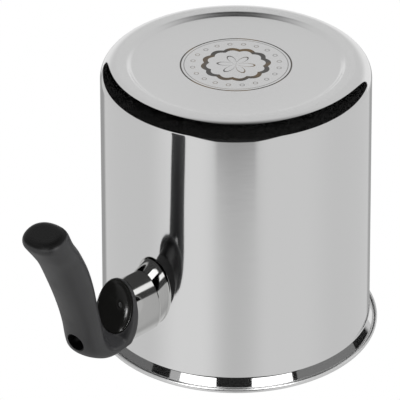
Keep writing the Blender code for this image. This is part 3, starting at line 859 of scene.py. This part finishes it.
@dataclass
class Pot:
    """Outer shell, split by finish, and the inner pot with its rolled rim."""

    finishes: Finishes
    sizes: PotSizes = field(default_factory=PotSizes)
    steps: int = 256

    def outer_paths(self) -> dict[str, list[Point]]:
        """Outer side of the shell's sheet, as paths for base, shoulder, wall and flare.

        Returns:
            The paths by name, each as (radius, Z).
        """
        s = self.sizes
        run = s.height - s.flare_height - s.shoulder
        heights = [s.shoulder + run * i / s.wall_steps for i in range(1, s.wall_steps)]
        base = [(0.0, s.recess_depth), (s.recess * 0.5, s.recess_depth)]
        base += self.rounded_step()
        base.append((s.wall_low - s.shoulder, 0.0))
        shoulder = Shape.arc((s.wall_low - s.shoulder, s.shoulder), s.shoulder, -math.pi / 2.0, 0.0,
                             s.corner_steps)
        flare = Shape.arc((s.wall_high + s.flare_radius, s.height - s.flare_height), s.flare_radius,
                          math.pi, math.pi - s.flare_turn, s.flare_steps)
        wall = [shoulder[-1]] + [(s.wall_radius(h), h) for h in heights] + [flare[0]]
        end = flare[-1]
        flare.append((end[0] + s.lip * math.sin(s.flare_turn), end[1] + s.lip * math.cos(s.flare_turn)))
        paths = {"base": base, "shoulder": shoulder, "wall": wall, "flare": flare}
        return {name: [(r, s.z(h)) for r, h in path] for name, path in paths.items()}

    def rounded_step(self) -> list[Point]:
        """Soft step from the recessed plate down to the standing ring.

        Returns:
            Its points as (radius, height).
        """
        s = self.sizes
        shares = [i / s.slope_steps for i in range(s.slope_steps + 1)]
        return [(s.recess - s.recess_slope * s.soft_slope_start + share * s.recess_slope * s.soft_slope_width,
                 s.recess_depth * (1.0 - Shape.ease(share))) for share in shares]

    def inner_path(self) -> list[Point]:
        """Middle of the inner pot's sheet, from the centre of its floor to the end of its roll.

        Returns:
            Its points as (radius, Z).
        """
        s = self.sizes
        half = s.sheet / 2.0
        low = s.wall_low - s.sheet - s.jacket - half
        high = s.wall_high - s.sheet - s.gap - half
        step_top = s.height - s.flare_height - s.step_below_flare
        step_low = step_top - s.step_height
        path = [(0.0, s.floor), (low * 0.5, s.floor)]
        corner_top = s.floor + s.inner_corner
        path += Shape.arc((low - s.inner_corner, corner_top), s.inner_corner, -math.pi / 2.0, 0.0,
                          s.inner_corner_steps)
        path += [(low, corner_top + (step_low - s.floor - s.inner_corner) * i / s.inner_wall_steps)
                 for i in range(1, s.inner_wall_steps)]
        for i in range(s.inner_step_steps + 1):
            share = i / s.inner_step_steps
            path.append((low + Shape.ease(share) * (high - low), step_low + share * s.step_height))
        path += Shape.arc((s.wall_high + s.flare_radius, s.height - s.flare_height),
                          s.flare_radius + s.sheet + s.gap + half, math.pi, math.pi - s.flare_turn,
                          s.inner_flare_steps)
        path += Shape.arc((s.wall_high + s.bead_overhang, s.height - s.bead), s.bead - half,
                          s.bead_start, s.bead_start - s.bead_roll, s.bead_steps)
        return [(r, s.z(h)) for r, h in path]

    def build(self) -> Objects:
        """Make the pot's pieces.

        Returns:
            The pieces that show.
        """
        s = self.sizes
        looks = {"base": self.finishes.base, "shoulder": self.finishes.polished,
                 "wall": self.finishes.wall, "flare": self.finishes.polished}
        made = []
        for name, path in self.outer_paths().items():
            bm = Shape.turn(Shape.sheet(path, s.sheet, 0.0), self.steps, closed=name != "base")
            piece = Shape.piece(f"shell_{name}", bm, looks[name])
            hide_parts("outer_shell")
            made.append(piece)
        half = s.sheet / 2.0
        bm = Shape.turn(Shape.sheet(self.inner_path(), half, half), self.steps, closed=False)
        inner = Shape.piece("inner_vessel", bm, self.finishes.inner)
        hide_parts("inner_pot")
        made.append(inner)
        for piece in made:
            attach(piece, Body.POT.value)
        return made


@dataclass
class Neck:
    """Mitred oval neck: stub, sleeve, weld and seal."""

    finishes: Finishes
    pot: PotSizes = field(default_factory=PotSizes)
    sizes: NeckSizes = field(default_factory=NeckSizes)

    @property
    def root(self) -> Vector:
        """Middle of the neck on the wall."""
        h = self.sizes.height
        return Vector((self.pot.wall_radius(h), 0.0, self.pot.z(h)))

    @property
    def mitre(self) -> Vector:
        """Middle of the mitre."""
        return PLANE.along(self.root, self.sizes.stub_rise, self.sizes.stub)

    @property
    def sleeve_end(self) -> Vector:
        """Middle of the sleeve's outer end."""
        return PLANE.along(self.mitre, self.sizes.sleeve_rise, self.sizes.sleeve)

    @property
    def collar(self) -> Vector:
        """Middle of the collar's back face."""
        s = self.sizes
        return PLANE.along(self.sleeve_end, s.sleeve_rise, s.seal + 2.0 * s.gap)

    @property
    def mitre_rise(self) -> float:
        """Angle square to the mitre."""
        return (self.sizes.stub_rise + self.sizes.sleeve_rise) / 2.0

    def oval(self, centre: Vector, rise: float, shrink: float) -> list[Vector]:
        """Ring of the tube."""
        s = self.sizes
        return PLANE.oval(centre, rise, s.half_height - shrink, s.half_width - shrink)

    def mitred(self, centre: Vector, rise: float, shrink: float, at: Vector) -> list[Vector]:
        """Ring of the tube, cut along the mitre through a point."""
        return PLANE.to_plane(self.oval(centre, rise, shrink), rise, at, self.mitre_rise)

    def on_wall(self, shrink: float, off: float = 0.0) -> list[Vector]:
        """Ring of the stub, slid along it to the wall.

        Args:
            shrink: How far it lies inside the tube's outer side.
            off: How far it stands off the wall.

        Returns:
            The ring.
        """
        rise = self.sizes.stub_rise
        run = PLANE.along(Vector(), rise, 1.0)
        slid = []
        for p in self.oval(self.root, rise, shrink):
            radius = self.pot.wall_radius(p.z + self.pot.recess_depth) + off
            slid.append(p + run * ((math.sqrt(radius ** 2 - p.y ** 2) - p.x) / run.x))
        return slid

    def stub_rings(self) -> Rings:
        """Stub, from the wall to the mitre and back inside.

        Returns:
            The rings.
        """
        s = self.sizes
        root, rise = self.root, s.stub_rise
        near = PLANE.along(self.mitre, rise, -s.gap * s.mitre_gap)
        return [self.on_wall(0.0),
                self.mitred(root, rise, 0.0, PLANE.along(near, rise, -s.round_off)),
                self.mitred(root, rise, s.round_off, near),
                self.mitred(root, rise, s.sheet, near),
                self.on_wall(s.sheet)]

    def sleeve_rings(self) -> Rings:
        """Sleeve, from the mitre to its outer end and back inside.

        Returns:
            The rings.
        """
        s = self.sizes
        mitre, end, rise = self.mitre, self.sleeve_end, s.sleeve_rise
        far = PLANE.along(mitre, rise, s.gap * s.mitre_gap)
        return [self.mitred(mitre, rise, s.round_off, far),
                self.mitred(mitre, rise, 0.0, PLANE.along(far, rise, s.round_off)),
                self.oval(end, rise, 0.0),
                self.oval(end, rise, s.sheet),
                self.mitred(mitre, rise, s.sheet, far)]

    def weld_rings(self) -> Rings:
        """Hollow fillet round the stub's foot.

        Returns:
            The rings.
        """
        s = self.sizes
        rings = []
        for i in range(s.weld_steps + 1):
            angle = math.pi / 2.0 * i / s.weld_steps
            rings.append(self.on_wall(-s.weld * (1.0 - math.sin(angle)), s.weld * (1.0 - math.cos(angle))))
        return rings + [self.on_wall(0.0)]

    def seal_rings(self) -> Rings:
        """Ring between the sleeve and the collar.

        Returns:
            The rings.
        """
        s = self.sizes
        start = PLANE.along(self.sleeve_end, s.sleeve_rise, s.gap * s.seal_gap)
        stop = PLANE.along(start, s.sleeve_rise, s.seal + s.gap)
        return [self.oval(at, s.sleeve_rise, shrink)
                for at, shrink in ((start, s.gap), (stop, s.gap), (stop, s.sheet), (start, s.sheet))]

    def build(self) -> Objects:
        """Make the neck's pieces.

        Returns:
            The pieces.
        """
        tube, sharp = self.finishes.tube, self.sizes.weld_sharp
        stub = Shape.piece("neck_root", Shape.skin(self.stub_rings(), closed=True), tube)
        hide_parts("neck_stub")
        sleeve = Shape.piece("neck_tube", Shape.skin(self.sleeve_rings(), closed=True), tube)
        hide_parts("neck_sleeve")
        weld = Shape.piece("neck_fillet", Shape.skin(self.weld_rings(), closed=True), tube, sharp)
        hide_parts("neck_weld")
        seal = Shape.piece("neck_ring", Shape.skin(self.seal_rings(), closed=True), self.finishes.silicone)
        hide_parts("neck_seal")
        for piece in (stub, sleeve, weld, seal):
            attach(piece, Body.POT.value)
        return [stub, sleeve, weld, seal]


@dataclass
class Whistle:
    """Dished whistle stopper in the mouth of the handle."""

    finishes: Finishes
    collar: Vector
    collar_rise: float
    sizes: WhistleSizes = field(default_factory=WhistleSizes)

    @property
    def mouth(self) -> Vector:
        """Middle of the mouth."""
        out = PLANE.along(self.collar, self.collar_rise, self.sizes.from_collar)
        return PLANE.across(out, self.collar_rise, -self.sizes.below_collar)

    def ring(self, depth: float, half_height: float, half_width: float) -> list[Vector]:
        """Ring at a depth behind the mouth's plane."""
        rise = self.sizes.rise
        return PLANE.oval(PLANE.along(self.mouth, rise, -depth), rise, half_height, half_width)

    def back(self, grow: float) -> list[tuple[float, float, float]]:
        """Back of the cap.

        Args:
            grow: How far it is grown all round.

        Returns:
            Its rings as (depth, half height, half width).
        """
        s = self.sizes
        corners = [(s.edge_depth, s.half_height, s.half_width),
                   ((s.edge_depth + s.plug_start) / 2.0, (s.half_height + 2.0 * s.plug_half_height) / 3.0,
                    (s.half_width + 2.0 * s.plug_half_width) / 3.0),
                   (s.plug_start, s.plug_half_height, s.plug_half_width)]
        return [(d + grow, h + grow, w + grow) for d, h, w in Shape.curve(corners, s.back_steps)]

    def build(self) -> Objects:
        """Make the stopper's cap.

        Returns:
            The pieces.
        """
        s = self.sizes
        rings = [self.ring(*size) for size in self.back(0.0)]
        plug = (s.plug_half_height - s.plug_taper, s.plug_half_width - s.plug_taper)
        rings.append(self.ring(s.plug_end, *plug))
        floor = s.dish_depth + s.dish_floor
        rings += [self.ring(depth, radius, radius) for depth, radius in (
            (s.plug_end, s.bore), (floor, s.bore), (floor, s.hole), (s.dish_depth, s.hole))]
        dish = [s.dish_guide, *reversed(s.dish_shares), (1.0, 0.0)]
        lip_height = s.half_height - s.lip
        lip_width = s.half_width - s.lip
        for share, depth in Shape.curve(dish, s.dish_steps)[s.dish_steps // 2:]:
            rings.append(self.ring(s.dish_depth * max(depth, 0.0), lip_height * share, lip_width * share))
        for i in range(1, s.lip_steps + 1):
            angle = math.pi * i / s.lip_steps
            out = s.lip / 2.0 * (1.0 - math.cos(angle))
            lift = s.lip * s.lip_lift * math.sin(angle)
            rings.append(self.ring(-lift + s.lip * s.lip_lift, lip_height + out, lip_width + out))
        cap = Shape.piece("whistle_dish", Shape.skin(rings, closed=True), self.finishes.cap, s.sharp)
        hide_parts("whistle_cap")
        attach(cap, Body.WHISTLE.value)
        return [cap]


@dataclass
class Handle:
    """Moulded handle, blended from arm, collar and spigot."""

    finishes: Finishes
    neck: Neck
    whistle: Whistle
    sizes: HandleSizes = field(default_factory=HandleSizes)
    voxel: float = 0.00045

    def arm_rings(self) -> Rings:
        """Sections of the arm from the collar to the rounded tip.

        Returns:
            The rings.
        """
        s = self.sizes
        collar = self.neck.collar
        top = collar.z + s.arm_top
        sections = []
        for a, b, c, d, w in Shape.curve(s.station_shares, s.station_steps):
            outer = Vector((collar.x + a * s.arm_reach, 0.0, top - b * s.arm_drop))
            inner = Vector((collar.x + c * s.arm_reach, 0.0, top - d * s.arm_drop))
            sections.append((outer, inner, w * s.arm_half_width))
        outer, inner, width = sections[-1]
        centre = (outer + inner) / 2.0
        reach = (outer - inner) / 2.0
        run = Vector((reach.z, 0.0, -reach.x)).normalized()
        for i in range(1, s.tip_steps + 1):
            turn = math.radians(s.tip_turn * i)
            draw_in = s.tip_round * (1.0 - math.cos(turn))
            push = run * s.tip_round * math.sin(turn)
            scale = 1.0 - draw_in / reach.length
            sections.append((centre + push + reach * scale, centre + push - reach * scale, width - draw_in))
        rings = []
        for outer, inner, width in sections:
            centre = (outer + inner) / 2.0
            reach = (outer - inner) / 2.0
            rise = math.atan2(-reach.x, reach.z)
            rings.append(PLANE.oval(centre, rise, reach.length, width, s.power, s.arm_points))
        return rings

    def collar_rings(self) -> Rings:
        """Sections of the collar from its back face to the mouth.

        Returns:
            The rings.
        """
        s = self.sizes
        back = self.neck.collar
        rise = self.neck.sizes.sleeve_rise
        mouth_rise = self.whistle.sizes.rise
        front = PLANE.across(self.whistle.mouth, mouth_rise,
                             (s.collar_half_height - self.whistle.sizes.half_height) * s.front_share)
        places = ((back, rise, s.edge * 0.5), (PLANE.along(back, rise, s.edge * 0.5), rise, 0.0),
                  ((back + front) / 2.0, (rise + mouth_rise) / 2.0, 0.0),
                  (PLANE.along(front, mouth_rise, -s.edge * 0.5), mouth_rise, s.front_edge),
                  (front, mouth_rise, s.edge))
        return [PLANE.oval(at, turn, s.collar_half_height - shrink, s.collar_half_width - shrink)
                for at, turn, shrink in places]

    def cutters(self) -> list[BMesh]:
        """Solids that cut the mouth with its chamber, and the bend's bore.

        Returns:
            The two solids.
        """
        w = self.whistle.sizes
        s = self.sizes
        mouth = [self.whistle.ring(-w.mouth_front, w.half_height + w.mouth_fit, w.half_width + w.mouth_fit)]
        mouth += [self.whistle.ring(*size) for size in self.whistle.back(w.mouth_fit)]
        plug = (w.plug_half_height + w.plug_clearance, w.plug_half_width + w.plug_clearance)
        mouth.append(self.whistle.ring(w.plug_start + w.plug_seat, *plug))
        mouth.append(self.whistle.ring(w.chamber, *plug))
        rise = self.neck.sizes.sleeve_rise
        bend = PLANE.across(self.neck.collar, rise, s.bore_lift)
        ends = (PLANE.along(bend, s.bore_rise, at) for at in (s.bore_start, s.arm_reach))
        bore = [PLANE.oval(end, s.bore_rise, s.bore, s.bore, steps=s.arm_points) for end in ends]
        return [Shape.skin(mouth, closed=False), Shape.skin(bore, closed=False)]

    def build(self) -> Objects:
        """Make the handle.

        Returns:
            The pieces.
        """
        s = self.sizes
        rise = self.neck.sizes.sleeve_rise
        arm = Shape.skin(self.arm_rings(), closed=False)
        body = Shape.piece("handle_moulding", arm, self.finishes.handle)
        spigot = [self.neck.oval(PLANE.along(self.neck.collar, rise, at), rise, s.spigot_shrink)
                  for at in (-s.spigot, s.spigot_overlap)]
        mouth, bore = self.cutters()
        self.combine(body, Shape.skin(self.collar_rings(), closed=False), Combine.JOIN)
        self.soften(body, s.blend_rounds)
        self.combine(body, Shape.skin(spigot, closed=False), Combine.JOIN)
        self.combine(body, mouth, Combine.CUT)
        self.soften(body, s.edge_rounds)
        self.combine(body, bore, Combine.CUT)
        body.data.set_sharp_from_angle(angle=math.radians(s.sharp))
        LOG.info("handle has %d faces", len(body.data.polygons))
        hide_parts("handle")
        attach(body, Body.POT.value)
        return [body]

    def combine(self, body: Object, solid: BMesh, how: Combine) -> None:
        """Join a solid to the body or cut it out of it.

        Args:
            body: The handle so far.
            solid: The solid.
            how: Which of the two.
        """
        tool = Shape.piece("tool", solid, self.finishes.handle)
        step = body.modifiers.new("step", "BOOLEAN")
        step.operation = how.value
        step.solver = "EXACT"
        step.object = tool
        Shape.baked(body)
        bpy.data.objects.remove(tool)

    def soften(self, body: Object, rounds: int) -> None:
        """Make the skin of even faces and smooth it.

        Args:
            body: The handle so far.
            rounds: Rounds of smoothing.
        """
        remesh = body.modifiers.new("blend", "REMESH")
        remesh.mode = "VOXEL"
        remesh.voxel_size = self.voxel
        soften = body.modifiers.new("soften", "SMOOTH")
        soften.factor = 0.5
        soften.iterations = rounds
        Shape.baked(body)


@dataclass(frozen=True)
class View:
    """The photograph's camera: below the pot, rolled by half a turn."""

    distance: float = 1.564
    elevation: float = math.radians(30.56)
    azimuth: float = math.radians(37.0)
    lens: float = 270.0
    sensor: float = 36.0
    reach: float = 50.0
    target_height: float = 0.0800
    side_pixels: float = 36.0
    focal_pixels: float = 3000.0

    @property
    def toward(self) -> Vector:
        """Level direction from the pot to the camera."""
        return Vector((math.cos(self.azimuth), -math.sin(self.azimuth), 0.0))

    @property
    def right(self) -> Vector:
        """Direction of the picture's right side."""
        return self.toward.cross(Vector((0.0, 0.0, 1.0)))

    def direction(self, azimuth: float, elevation: float) -> Vector:
        """Direction from the pot as the photograph sees it.

        Args:
            azimuth: Degrees from the camera towards the picture's right.
            elevation: Degrees above the photograph's level plane.

        Returns:
            The unit direction in the row frame.
        """
        a = math.radians(azimuth)
        e = math.radians(elevation)
        level = self.toward * math.cos(a) + self.right * math.sin(a)
        return level * math.cos(e) - Vector((0.0, 0.0, 1.0)) * math.sin(e)

    def build(self) -> Object:
        """Make the camera.

        Returns:
            The camera.
        """
        target = Vector((0.0, 0.0, self.target_height))
        place = target + self.direction(0.0, math.degrees(self.elevation)) * self.distance
        aim = target - self.right * (self.side_pixels / self.focal_pixels * self.distance)
        forward = (aim - place).normalized()
        right = self.right - forward * self.right.dot(forward)
        right.normalize()
        up = right.cross(forward)
        data = bpy.data.cameras.new("camera")
        data.lens = self.lens
        data.sensor_width = self.sensor
        data.clip_end = self.reach
        camera = bpy.data.objects.new("camera", data)
        camera.matrix_world = Matrix((
            (right.x, up.x, -forward.x, place.x),
            (right.y, up.y, -forward.y, place.y),
            (right.z, up.z, -forward.z, place.z),
            (0.0, 0.0, 0.0, 1.0)))
        bpy.context.scene.collection.objects.link(camera)
        bpy.context.scene.camera = camera
        return camera


@dataclass(frozen=True)
class Patch:
    """Change of brightness round an azimuth, in degrees."""

    centre: float
    half: float
    soft: float
    change: float

    def shape(self, azimuth: Signal) -> Signal:
        """1 in the middle of the patch, 0 off it."""
        return azimuth.band(self.centre, self.half, self.soft)


@dataclass(frozen=True)
class WorldLight:
    """Luminous table round the pot; lifts are degrees over the photograph's level plane."""

    horizon: float = -8.0
    front_dip: Patch = Patch(0.0, 14.0, 26.0, 19.7)
    edge: Pair = (-1.4, 1.6)
    glow: float = 0.64
    patches: tuple[Patch, ...] = (
        Patch(0.0, 4.0, 26.0, -0.07), Patch(-40.0, 8.0, 34.0, 0.14), Patch(42.0, 14.0, 40.0, 0.05),
        Patch(-180.0, 27.0, 8.0, -0.30), Patch(180.0, 22.0, 6.0, -0.26))
    dark: float = 0.008


@dataclass(frozen=True)
class ShellLight:
    """Shells over the horizon: their split and their brightness; angles are in degrees."""

    radius: float = 6.0
    foot: float = -8.0
    back_foot: float = -20.0
    back_middle: float = -9.0
    back_half: float = 145.0
    back_top: float = 88.0
    level: float = 0.67
    level_fade: Pair = (46.0, 86.0)
    shades: tuple[Patch, ...] = (
        Patch(2.0, 10.0, 24.0, 0.42), Patch(-92.0, 8.0, 30.0, 0.34), Patch(72.0, 6.0, 26.0, 0.26))
    shades_fade: Pair = (28.0, 46.0)
    back_glow: float = 0.22
    back_glow_fade: Pair = (6.0, 27.0)
    dim: Patch = Patch(-18.0, 100.0, 12.0, 0.075)
    strip: Patch = Patch(42.0, 42.0, 8.0, 1.5)
    strip_lift: tuple[float, float, float] = (11.5, 5.0, 3.0)
    one_mirror: float = 1.5

    def is_back(self, azimuth: float, lift: float) -> bool:
        """Whether a direction is on the part behind the pot."""
        return abs(azimuth - self.back_middle) > self.back_half and lift < self.back_top


@dataclass(frozen=True)
class Panel:
    """Soft panel that faces the pot and lights chosen pieces.

    The azimuth counts from the camera towards the picture's right and the elevation from the photograph's
    level plane. The radiance is the brightness as the pot's mirror shows it.
    """

    name: str
    azimuth: float
    elevation: float
    width: float
    height: float
    radiance: float
    mirrored: bool = True


# Pieces that see a light, by their group.
RECEIVERS = {
    Group.PALE: ("shell_wall", "inner_vessel", "shell_base", "handle_moulding"),
    Group.POT: ("shell_base", "shell_shoulder", "shell_wall", "shell_flare", "inner_vessel",
                "handle_moulding"),
    Group.RIM: ("shell_flare", "inner_vessel", "handle_moulding"),
    Group.NECK: ("neck_root", "neck_tube", "neck_fillet", "neck_ring"),
    Group.DISH: ("whistle_dish",),
    Group.HANDLE: ("handle_moulding",),
}
# Panels, by the group that they light.
PANELS = {
    Group.RIM: (Panel("left panel", -29.5, 24.0, 0.63, 0.8, 1.9),
                Panel("left edge panel", -47.7, 22.0, 0.19, 0.8, 0.45),
                Panel("right panel", 28.3, 24.0, 0.71, 0.8, 1.9),
                Panel("left dim panel", -85.0, 15.0, 0.82, 1.2, 0.14),
                Panel("right dim panel", 77.0, 15.0, 1.38, 1.2, 0.19)),
    Group.NECK: (Panel("stub strip", 75.0, 46.0, 0.44, 0.75, 1.6),
                 Panel("neck fill", 170.0, 20.0, 1.9, 1.5, 0.05)),
    Group.DISH: (Panel("dish spot", -120.0, -11.0, 0.9, 0.20, 38.0),
                 Panel("dish edge", -130.0, 6.0, 0.5, 0.30, 12.0),
                 Panel("dish fill", 0.0, 20.0, 1.0, 1.0, 1.3, mirrored=False)),
    Group.HANDLE: (Panel("handle fill", 35.0, -25.0, 0.8, 0.6, 0.5),
                   Panel("handle top fill", 60.0, 75.0, 1.2, 1.2, 8.0, mirrored=False)),
}


@dataclass
class Studio:
    """Floor, backdrop, world light, shells and panels, placed as the photograph sees them."""

    view: View
    table: WorldLight = field(default_factory=WorldLight)
    shells: ShellLight = field(default_factory=ShellLight)
    floor_z: float = -0.0018
    floor_radius: float = 4.0
    floor_colour: tuple[float, ...] = (0.86, 0.86, 0.86, 1.0)
    floor_roughness: float = 0.9
    floor_fade: Pair = (0.35, 2.2)
    floor_corners: int = 96
    backdrop_radius: float = 8.0
    backdrop_parts: tuple[int, int] = (48, 24)
    shell_parts: tuple[int, int] = (96, 64)
    panel_height: float = 0.11
    panel_distance: float = 1.3

    def sphere(self, parts: tuple[int, int], radius: float) -> BMesh:
        """Sphere round the origin.

        Args:
            parts: Faces round it and from pole to pole.
            radius: Its radius.

        Returns:
            The mesh.
        """
        bm = bmesh.new()
        bmesh.ops.create_uvsphere(bm, u_segments=parts[0], v_segments=parts[1], radius=radius)
        return bm

    def only(self, obj: Object, *rays: Ray) -> None:
        """Leave an object visible to some kinds of rays only."""
        for ray in Ray:
            setattr(obj, f"visible_{ray.value}", ray in rays)

    def azimuth(self, nodes: Nodes, x: Signal, y: Signal) -> Signal:
        """Degrees from the camera's side towards the picture's right, of a place or direction."""
        ahead, aside = (x * way.x + y * way.y for way in (self.view.toward, self.view.right))
        return nodes.math("DEGREES", nodes.math("ARCTAN2", aside, ahead))

    def world(self) -> None:
        """Luminous table all round and a dark room over it."""
        look = self.table
        world = bpy.data.worlds.new("studio")
        world.use_nodes = True
        bpy.context.scene.world = world
        nodes = Nodes(world.node_tree)
        background = world.node_tree.nodes["Background"]
        x, y, z = nodes.split(nodes.coordinate("Generated"))
        azimuth = self.azimuth(nodes, x, y)
        elevation = nodes.math("DEGREES", nodes.math("ARCSINE", z * -1.0))
        horizon = look.horizon - look.front_dip.shape(azimuth) * look.front_dip.change
        table = (elevation - horizon).smooth(*look.edge, 1.0, 0.0)
        glow: object = look.glow
        for patch in look.patches:
            glow = glow + patch.shape(azimuth) * patch.change
        light = nodes.math("MAXIMUM", table * glow, look.dark)
        nodes.feed(background.inputs["Color"], nodes.join(light, light, light))
        background.inputs["Strength"].default_value = 1.0

    def floor(self) -> None:
        """Pale floor, seen from above only, fading into the backdrop."""
        bm = bmesh.new()
        bmesh.ops.create_circle(bm, cap_ends=True, segments=self.floor_corners, radius=self.floor_radius,
                                matrix=Matrix.Translation((0.0, 0.0, self.floor_z)))
        material, nodes, shader = fresh_material("floor")
        shader.inputs["Base Color"].default_value = self.floor_colour
        shader.inputs["Roughness"].default_value = self.floor_roughness
        shader.inputs["Specular IOR Level"].default_value = 0.0
        x, y, _ = nodes.split(nodes.coordinate("Object"))
        far = nodes.length(x, y).smooth(*self.floor_fade)
        faded = nodes.add("ShaderNodeMixShader", far, Signal(nodes, shader.outputs[0]), nodes.emission())
        below = nodes.add("ShaderNodeNewGeometry", out="Backfacing")
        clear = nodes.add("ShaderNodeBsdfTransparent")
        nodes.surface(nodes.add("ShaderNodeMixShader", below, faded, clear))
        floor = Shape.piece("floor", bm, material)
        if floor.data.polygons[0].normal.z < 0.0:
            floor.data.flip_normals()
        self.only(floor, Ray.CAMERA, Ray.DIFFUSE)

    def backdrop(self) -> None:
        """White surround that only the camera sees."""
        bm = self.sphere(self.backdrop_parts, self.backdrop_radius)
        material, nodes, _ = fresh_material("backdrop")
        nodes.surface(nodes.emission())
        surround = Shape.piece("backdrop", bm, material)
        self.only(surround, Ray.CAMERA)

    def lamp(self, panel: Panel, receivers: Collection) -> None:
        """Place a panel.

        Args:
            panel: The panel.
            receivers: The pieces that it lights.
        """
        data = bpy.data.lights.new(panel.name, "AREA")
        data.shape = "RECTANGLE"
        data.size, data.size_y = panel.width, panel.height
        data.energy = panel.radiance * panel.width * panel.height * math.pi
        lamp = bpy.data.objects.new(panel.name, data)
        middle = Vector((0.0, 0.0, self.panel_height))
        lamp.location = middle + self.view.direction(panel.azimuth, panel.elevation) * self.panel_distance
        lamp.rotation_euler = (middle - lamp.location).to_track_quat("-Z", "Y").to_euler()
        lamp.visible_glossy = panel.mirrored
        bpy.context.scene.collection.objects.link(lamp)
        lamp.light_linking.receiver_collection = receivers

    def shell(self, name: str, behind: bool, receivers: Collection) -> None:
        """Glowing part of a large sphere; pieces that aren't receivers mirror it black.

        Args:
            name: Its name.
            behind: The part behind the pot, or else all the rest.
            receivers: The pieces that see it lit.
        """
        look = self.shells
        bm = self.sphere(self.shell_parts, look.radius)
        toward, right = self.view.toward, self.view.right
        foot = look.back_foot if behind else look.foot
        drop = []
        for face in bm.faces:
            way = face.calc_center_median().normalized()
            lift = -math.degrees(math.asin(way.z))
            azimuth = math.degrees(math.atan2(way.dot(right), way.dot(toward)))
            if lift < foot or look.is_back(azimuth, lift) is not behind:
                drop.append(face)
        bmesh.ops.delete(bm, geom=drop, context="FACES")
        material, nodes, _ = fresh_material(name)
        nodes.surface(nodes.emission(self.shell_level(nodes, behind)))
        dome = Shape.piece(name, bm, material)
        self.only(dome, Ray.GLOSSY)
        dome.light_linking.receiver_collection = receivers

    def shell_level(self, nodes: Nodes, behind: bool) -> Signal:
        """Graph of a shell's brightness; a second mirror shows its front dim, with a bright strip.

        Args:
            nodes: Node builder.
            behind: Whether it is the part behind the pot.

        Returns:
            The brightness.
        """
        look = self.shells
        x, y, z = nodes.split(nodes.coordinate("Object"))
        azimuth = self.azimuth(nodes, x, y)
        lift = nodes.math("DEGREES", nodes.math("ARCSINE", nodes.math("DIVIDE", z, -look.radius)))
        level = lift.smooth(*look.level_fade, look.level, 0.0)
        for shade in look.shades:
            level = level * (1.0 - shade.shape(azimuth) * lift.smooth(*look.shades_fade, shade.change, 0.0))
        if behind:
            level = level + lift.smooth(*look.back_glow_fade, look.back_glow, 0.0)
        strip = look.strip.shape(azimuth) * lift.band(*look.strip_lift)
        dim = nodes.blend(look.dim.shape(azimuth), level, look.dim.change)
        depth = nodes.add("ShaderNodeLightPath", out="Ray Depth")
        twice = nodes.math("GREATER_THAN", depth, look.one_mirror)
        return nodes.blend(twice, level, strip * look.strip.change + dim)

    def receivers(self, group: Group, pieces: dict[str, Object]) -> Collection:
        """Collection of the pieces that a light reaches.

        Args:
            group: Their group.
            pieces: All the finished pieces by name.

        Returns:
            The collection.
        """
        made = bpy.data.collections.new(group.value)
        for name in RECEIVERS[group]:
            made.objects.link(pieces[name])
        return made

    def build(self, pieces: dict[str, Object]) -> None:
        """Set up the studio.

        Args:
            pieces: The finished pieces by name.
        """
        self.world()
        self.floor()
        self.backdrop()
        made = {group: self.receivers(group, pieces) for group in Group}
        self.shell("low_dome", False, made[Group.PALE])
        self.shell("grey_wall", True, made[Group.POT])
        for group, panels in PANELS.items():
            for panel in panels:
                self.lamp(panel, made[group])


class Scene:
    """The whole picture; pieces whose names start with a word in UNMIRRORED aren't seen in mirrors."""

    UNMIRRORED = ("neck", "clamp", "whistle")

    def __init__(self) -> None:
        """Load the frame and make the finishes."""
        self.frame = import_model()
        self.finishes = Finishes()

    def dress_nodes(self) -> None:
        """Give each CAD node its finish."""
        f = self.finishes
        looks = {name: finish for finish, names in (
            (f.wall, ("outer_shell",)),
            (f.inner, ("inner_pot", "base_liner")),
            (f.aluminium, ("base_core",)),
            (f.polished, ("neck_stub", "neck_sleeve", "neck_weld", "clamp_bridge", "clamp_nut",
                          "clamp_washer", "clamp_screw")),
            (f.dull, ("whistle_front_disc", "whistle_rear_disc")),
            (f.handle, ("handle",)),
            (f.cap, ("whistle_cap",)),
            (f.silicone, ("neck_seal", "whistle_seal"))) for name in names}
        for name, node in self.frame["nodes"].items():
            for slot in node.material_slots:
                slot.material = looks[name]

    def build(self) -> None:
        """Make every piece, the studio and the camera."""
        self.dress_nodes()
        pot = Pot(self.finishes).build()
        neck = Neck(self.finishes)
        neck_pieces = neck.build()
        whistle = Whistle(self.finishes, neck.collar, neck.sizes.sleeve_rise)
        cap = whistle.build()
        handle = Handle(self.finishes, neck, whistle).build()
        fittings = [node for name, node in self.frame["nodes"].items() if name.startswith(self.UNMIRRORED)]
        for piece in (*neck_pieces, *cap, *fittings):
            piece.visible_glossy = False
        view = View()
        view.build()
        Studio(view).build({piece.name: piece for piece in (*pot, *neck_pieces, *cap, *handle)})


def main() -> None:
    """Build the scene."""
    logging.basicConfig(level=logging.INFO, format="%(message)s")
    scene = Scene()
    scene.build()
    settings = bpy.context.scene.view_settings
    settings.view_transform = "Standard"
    settings.look = "None"


if __name__ == "__main__":
    main()
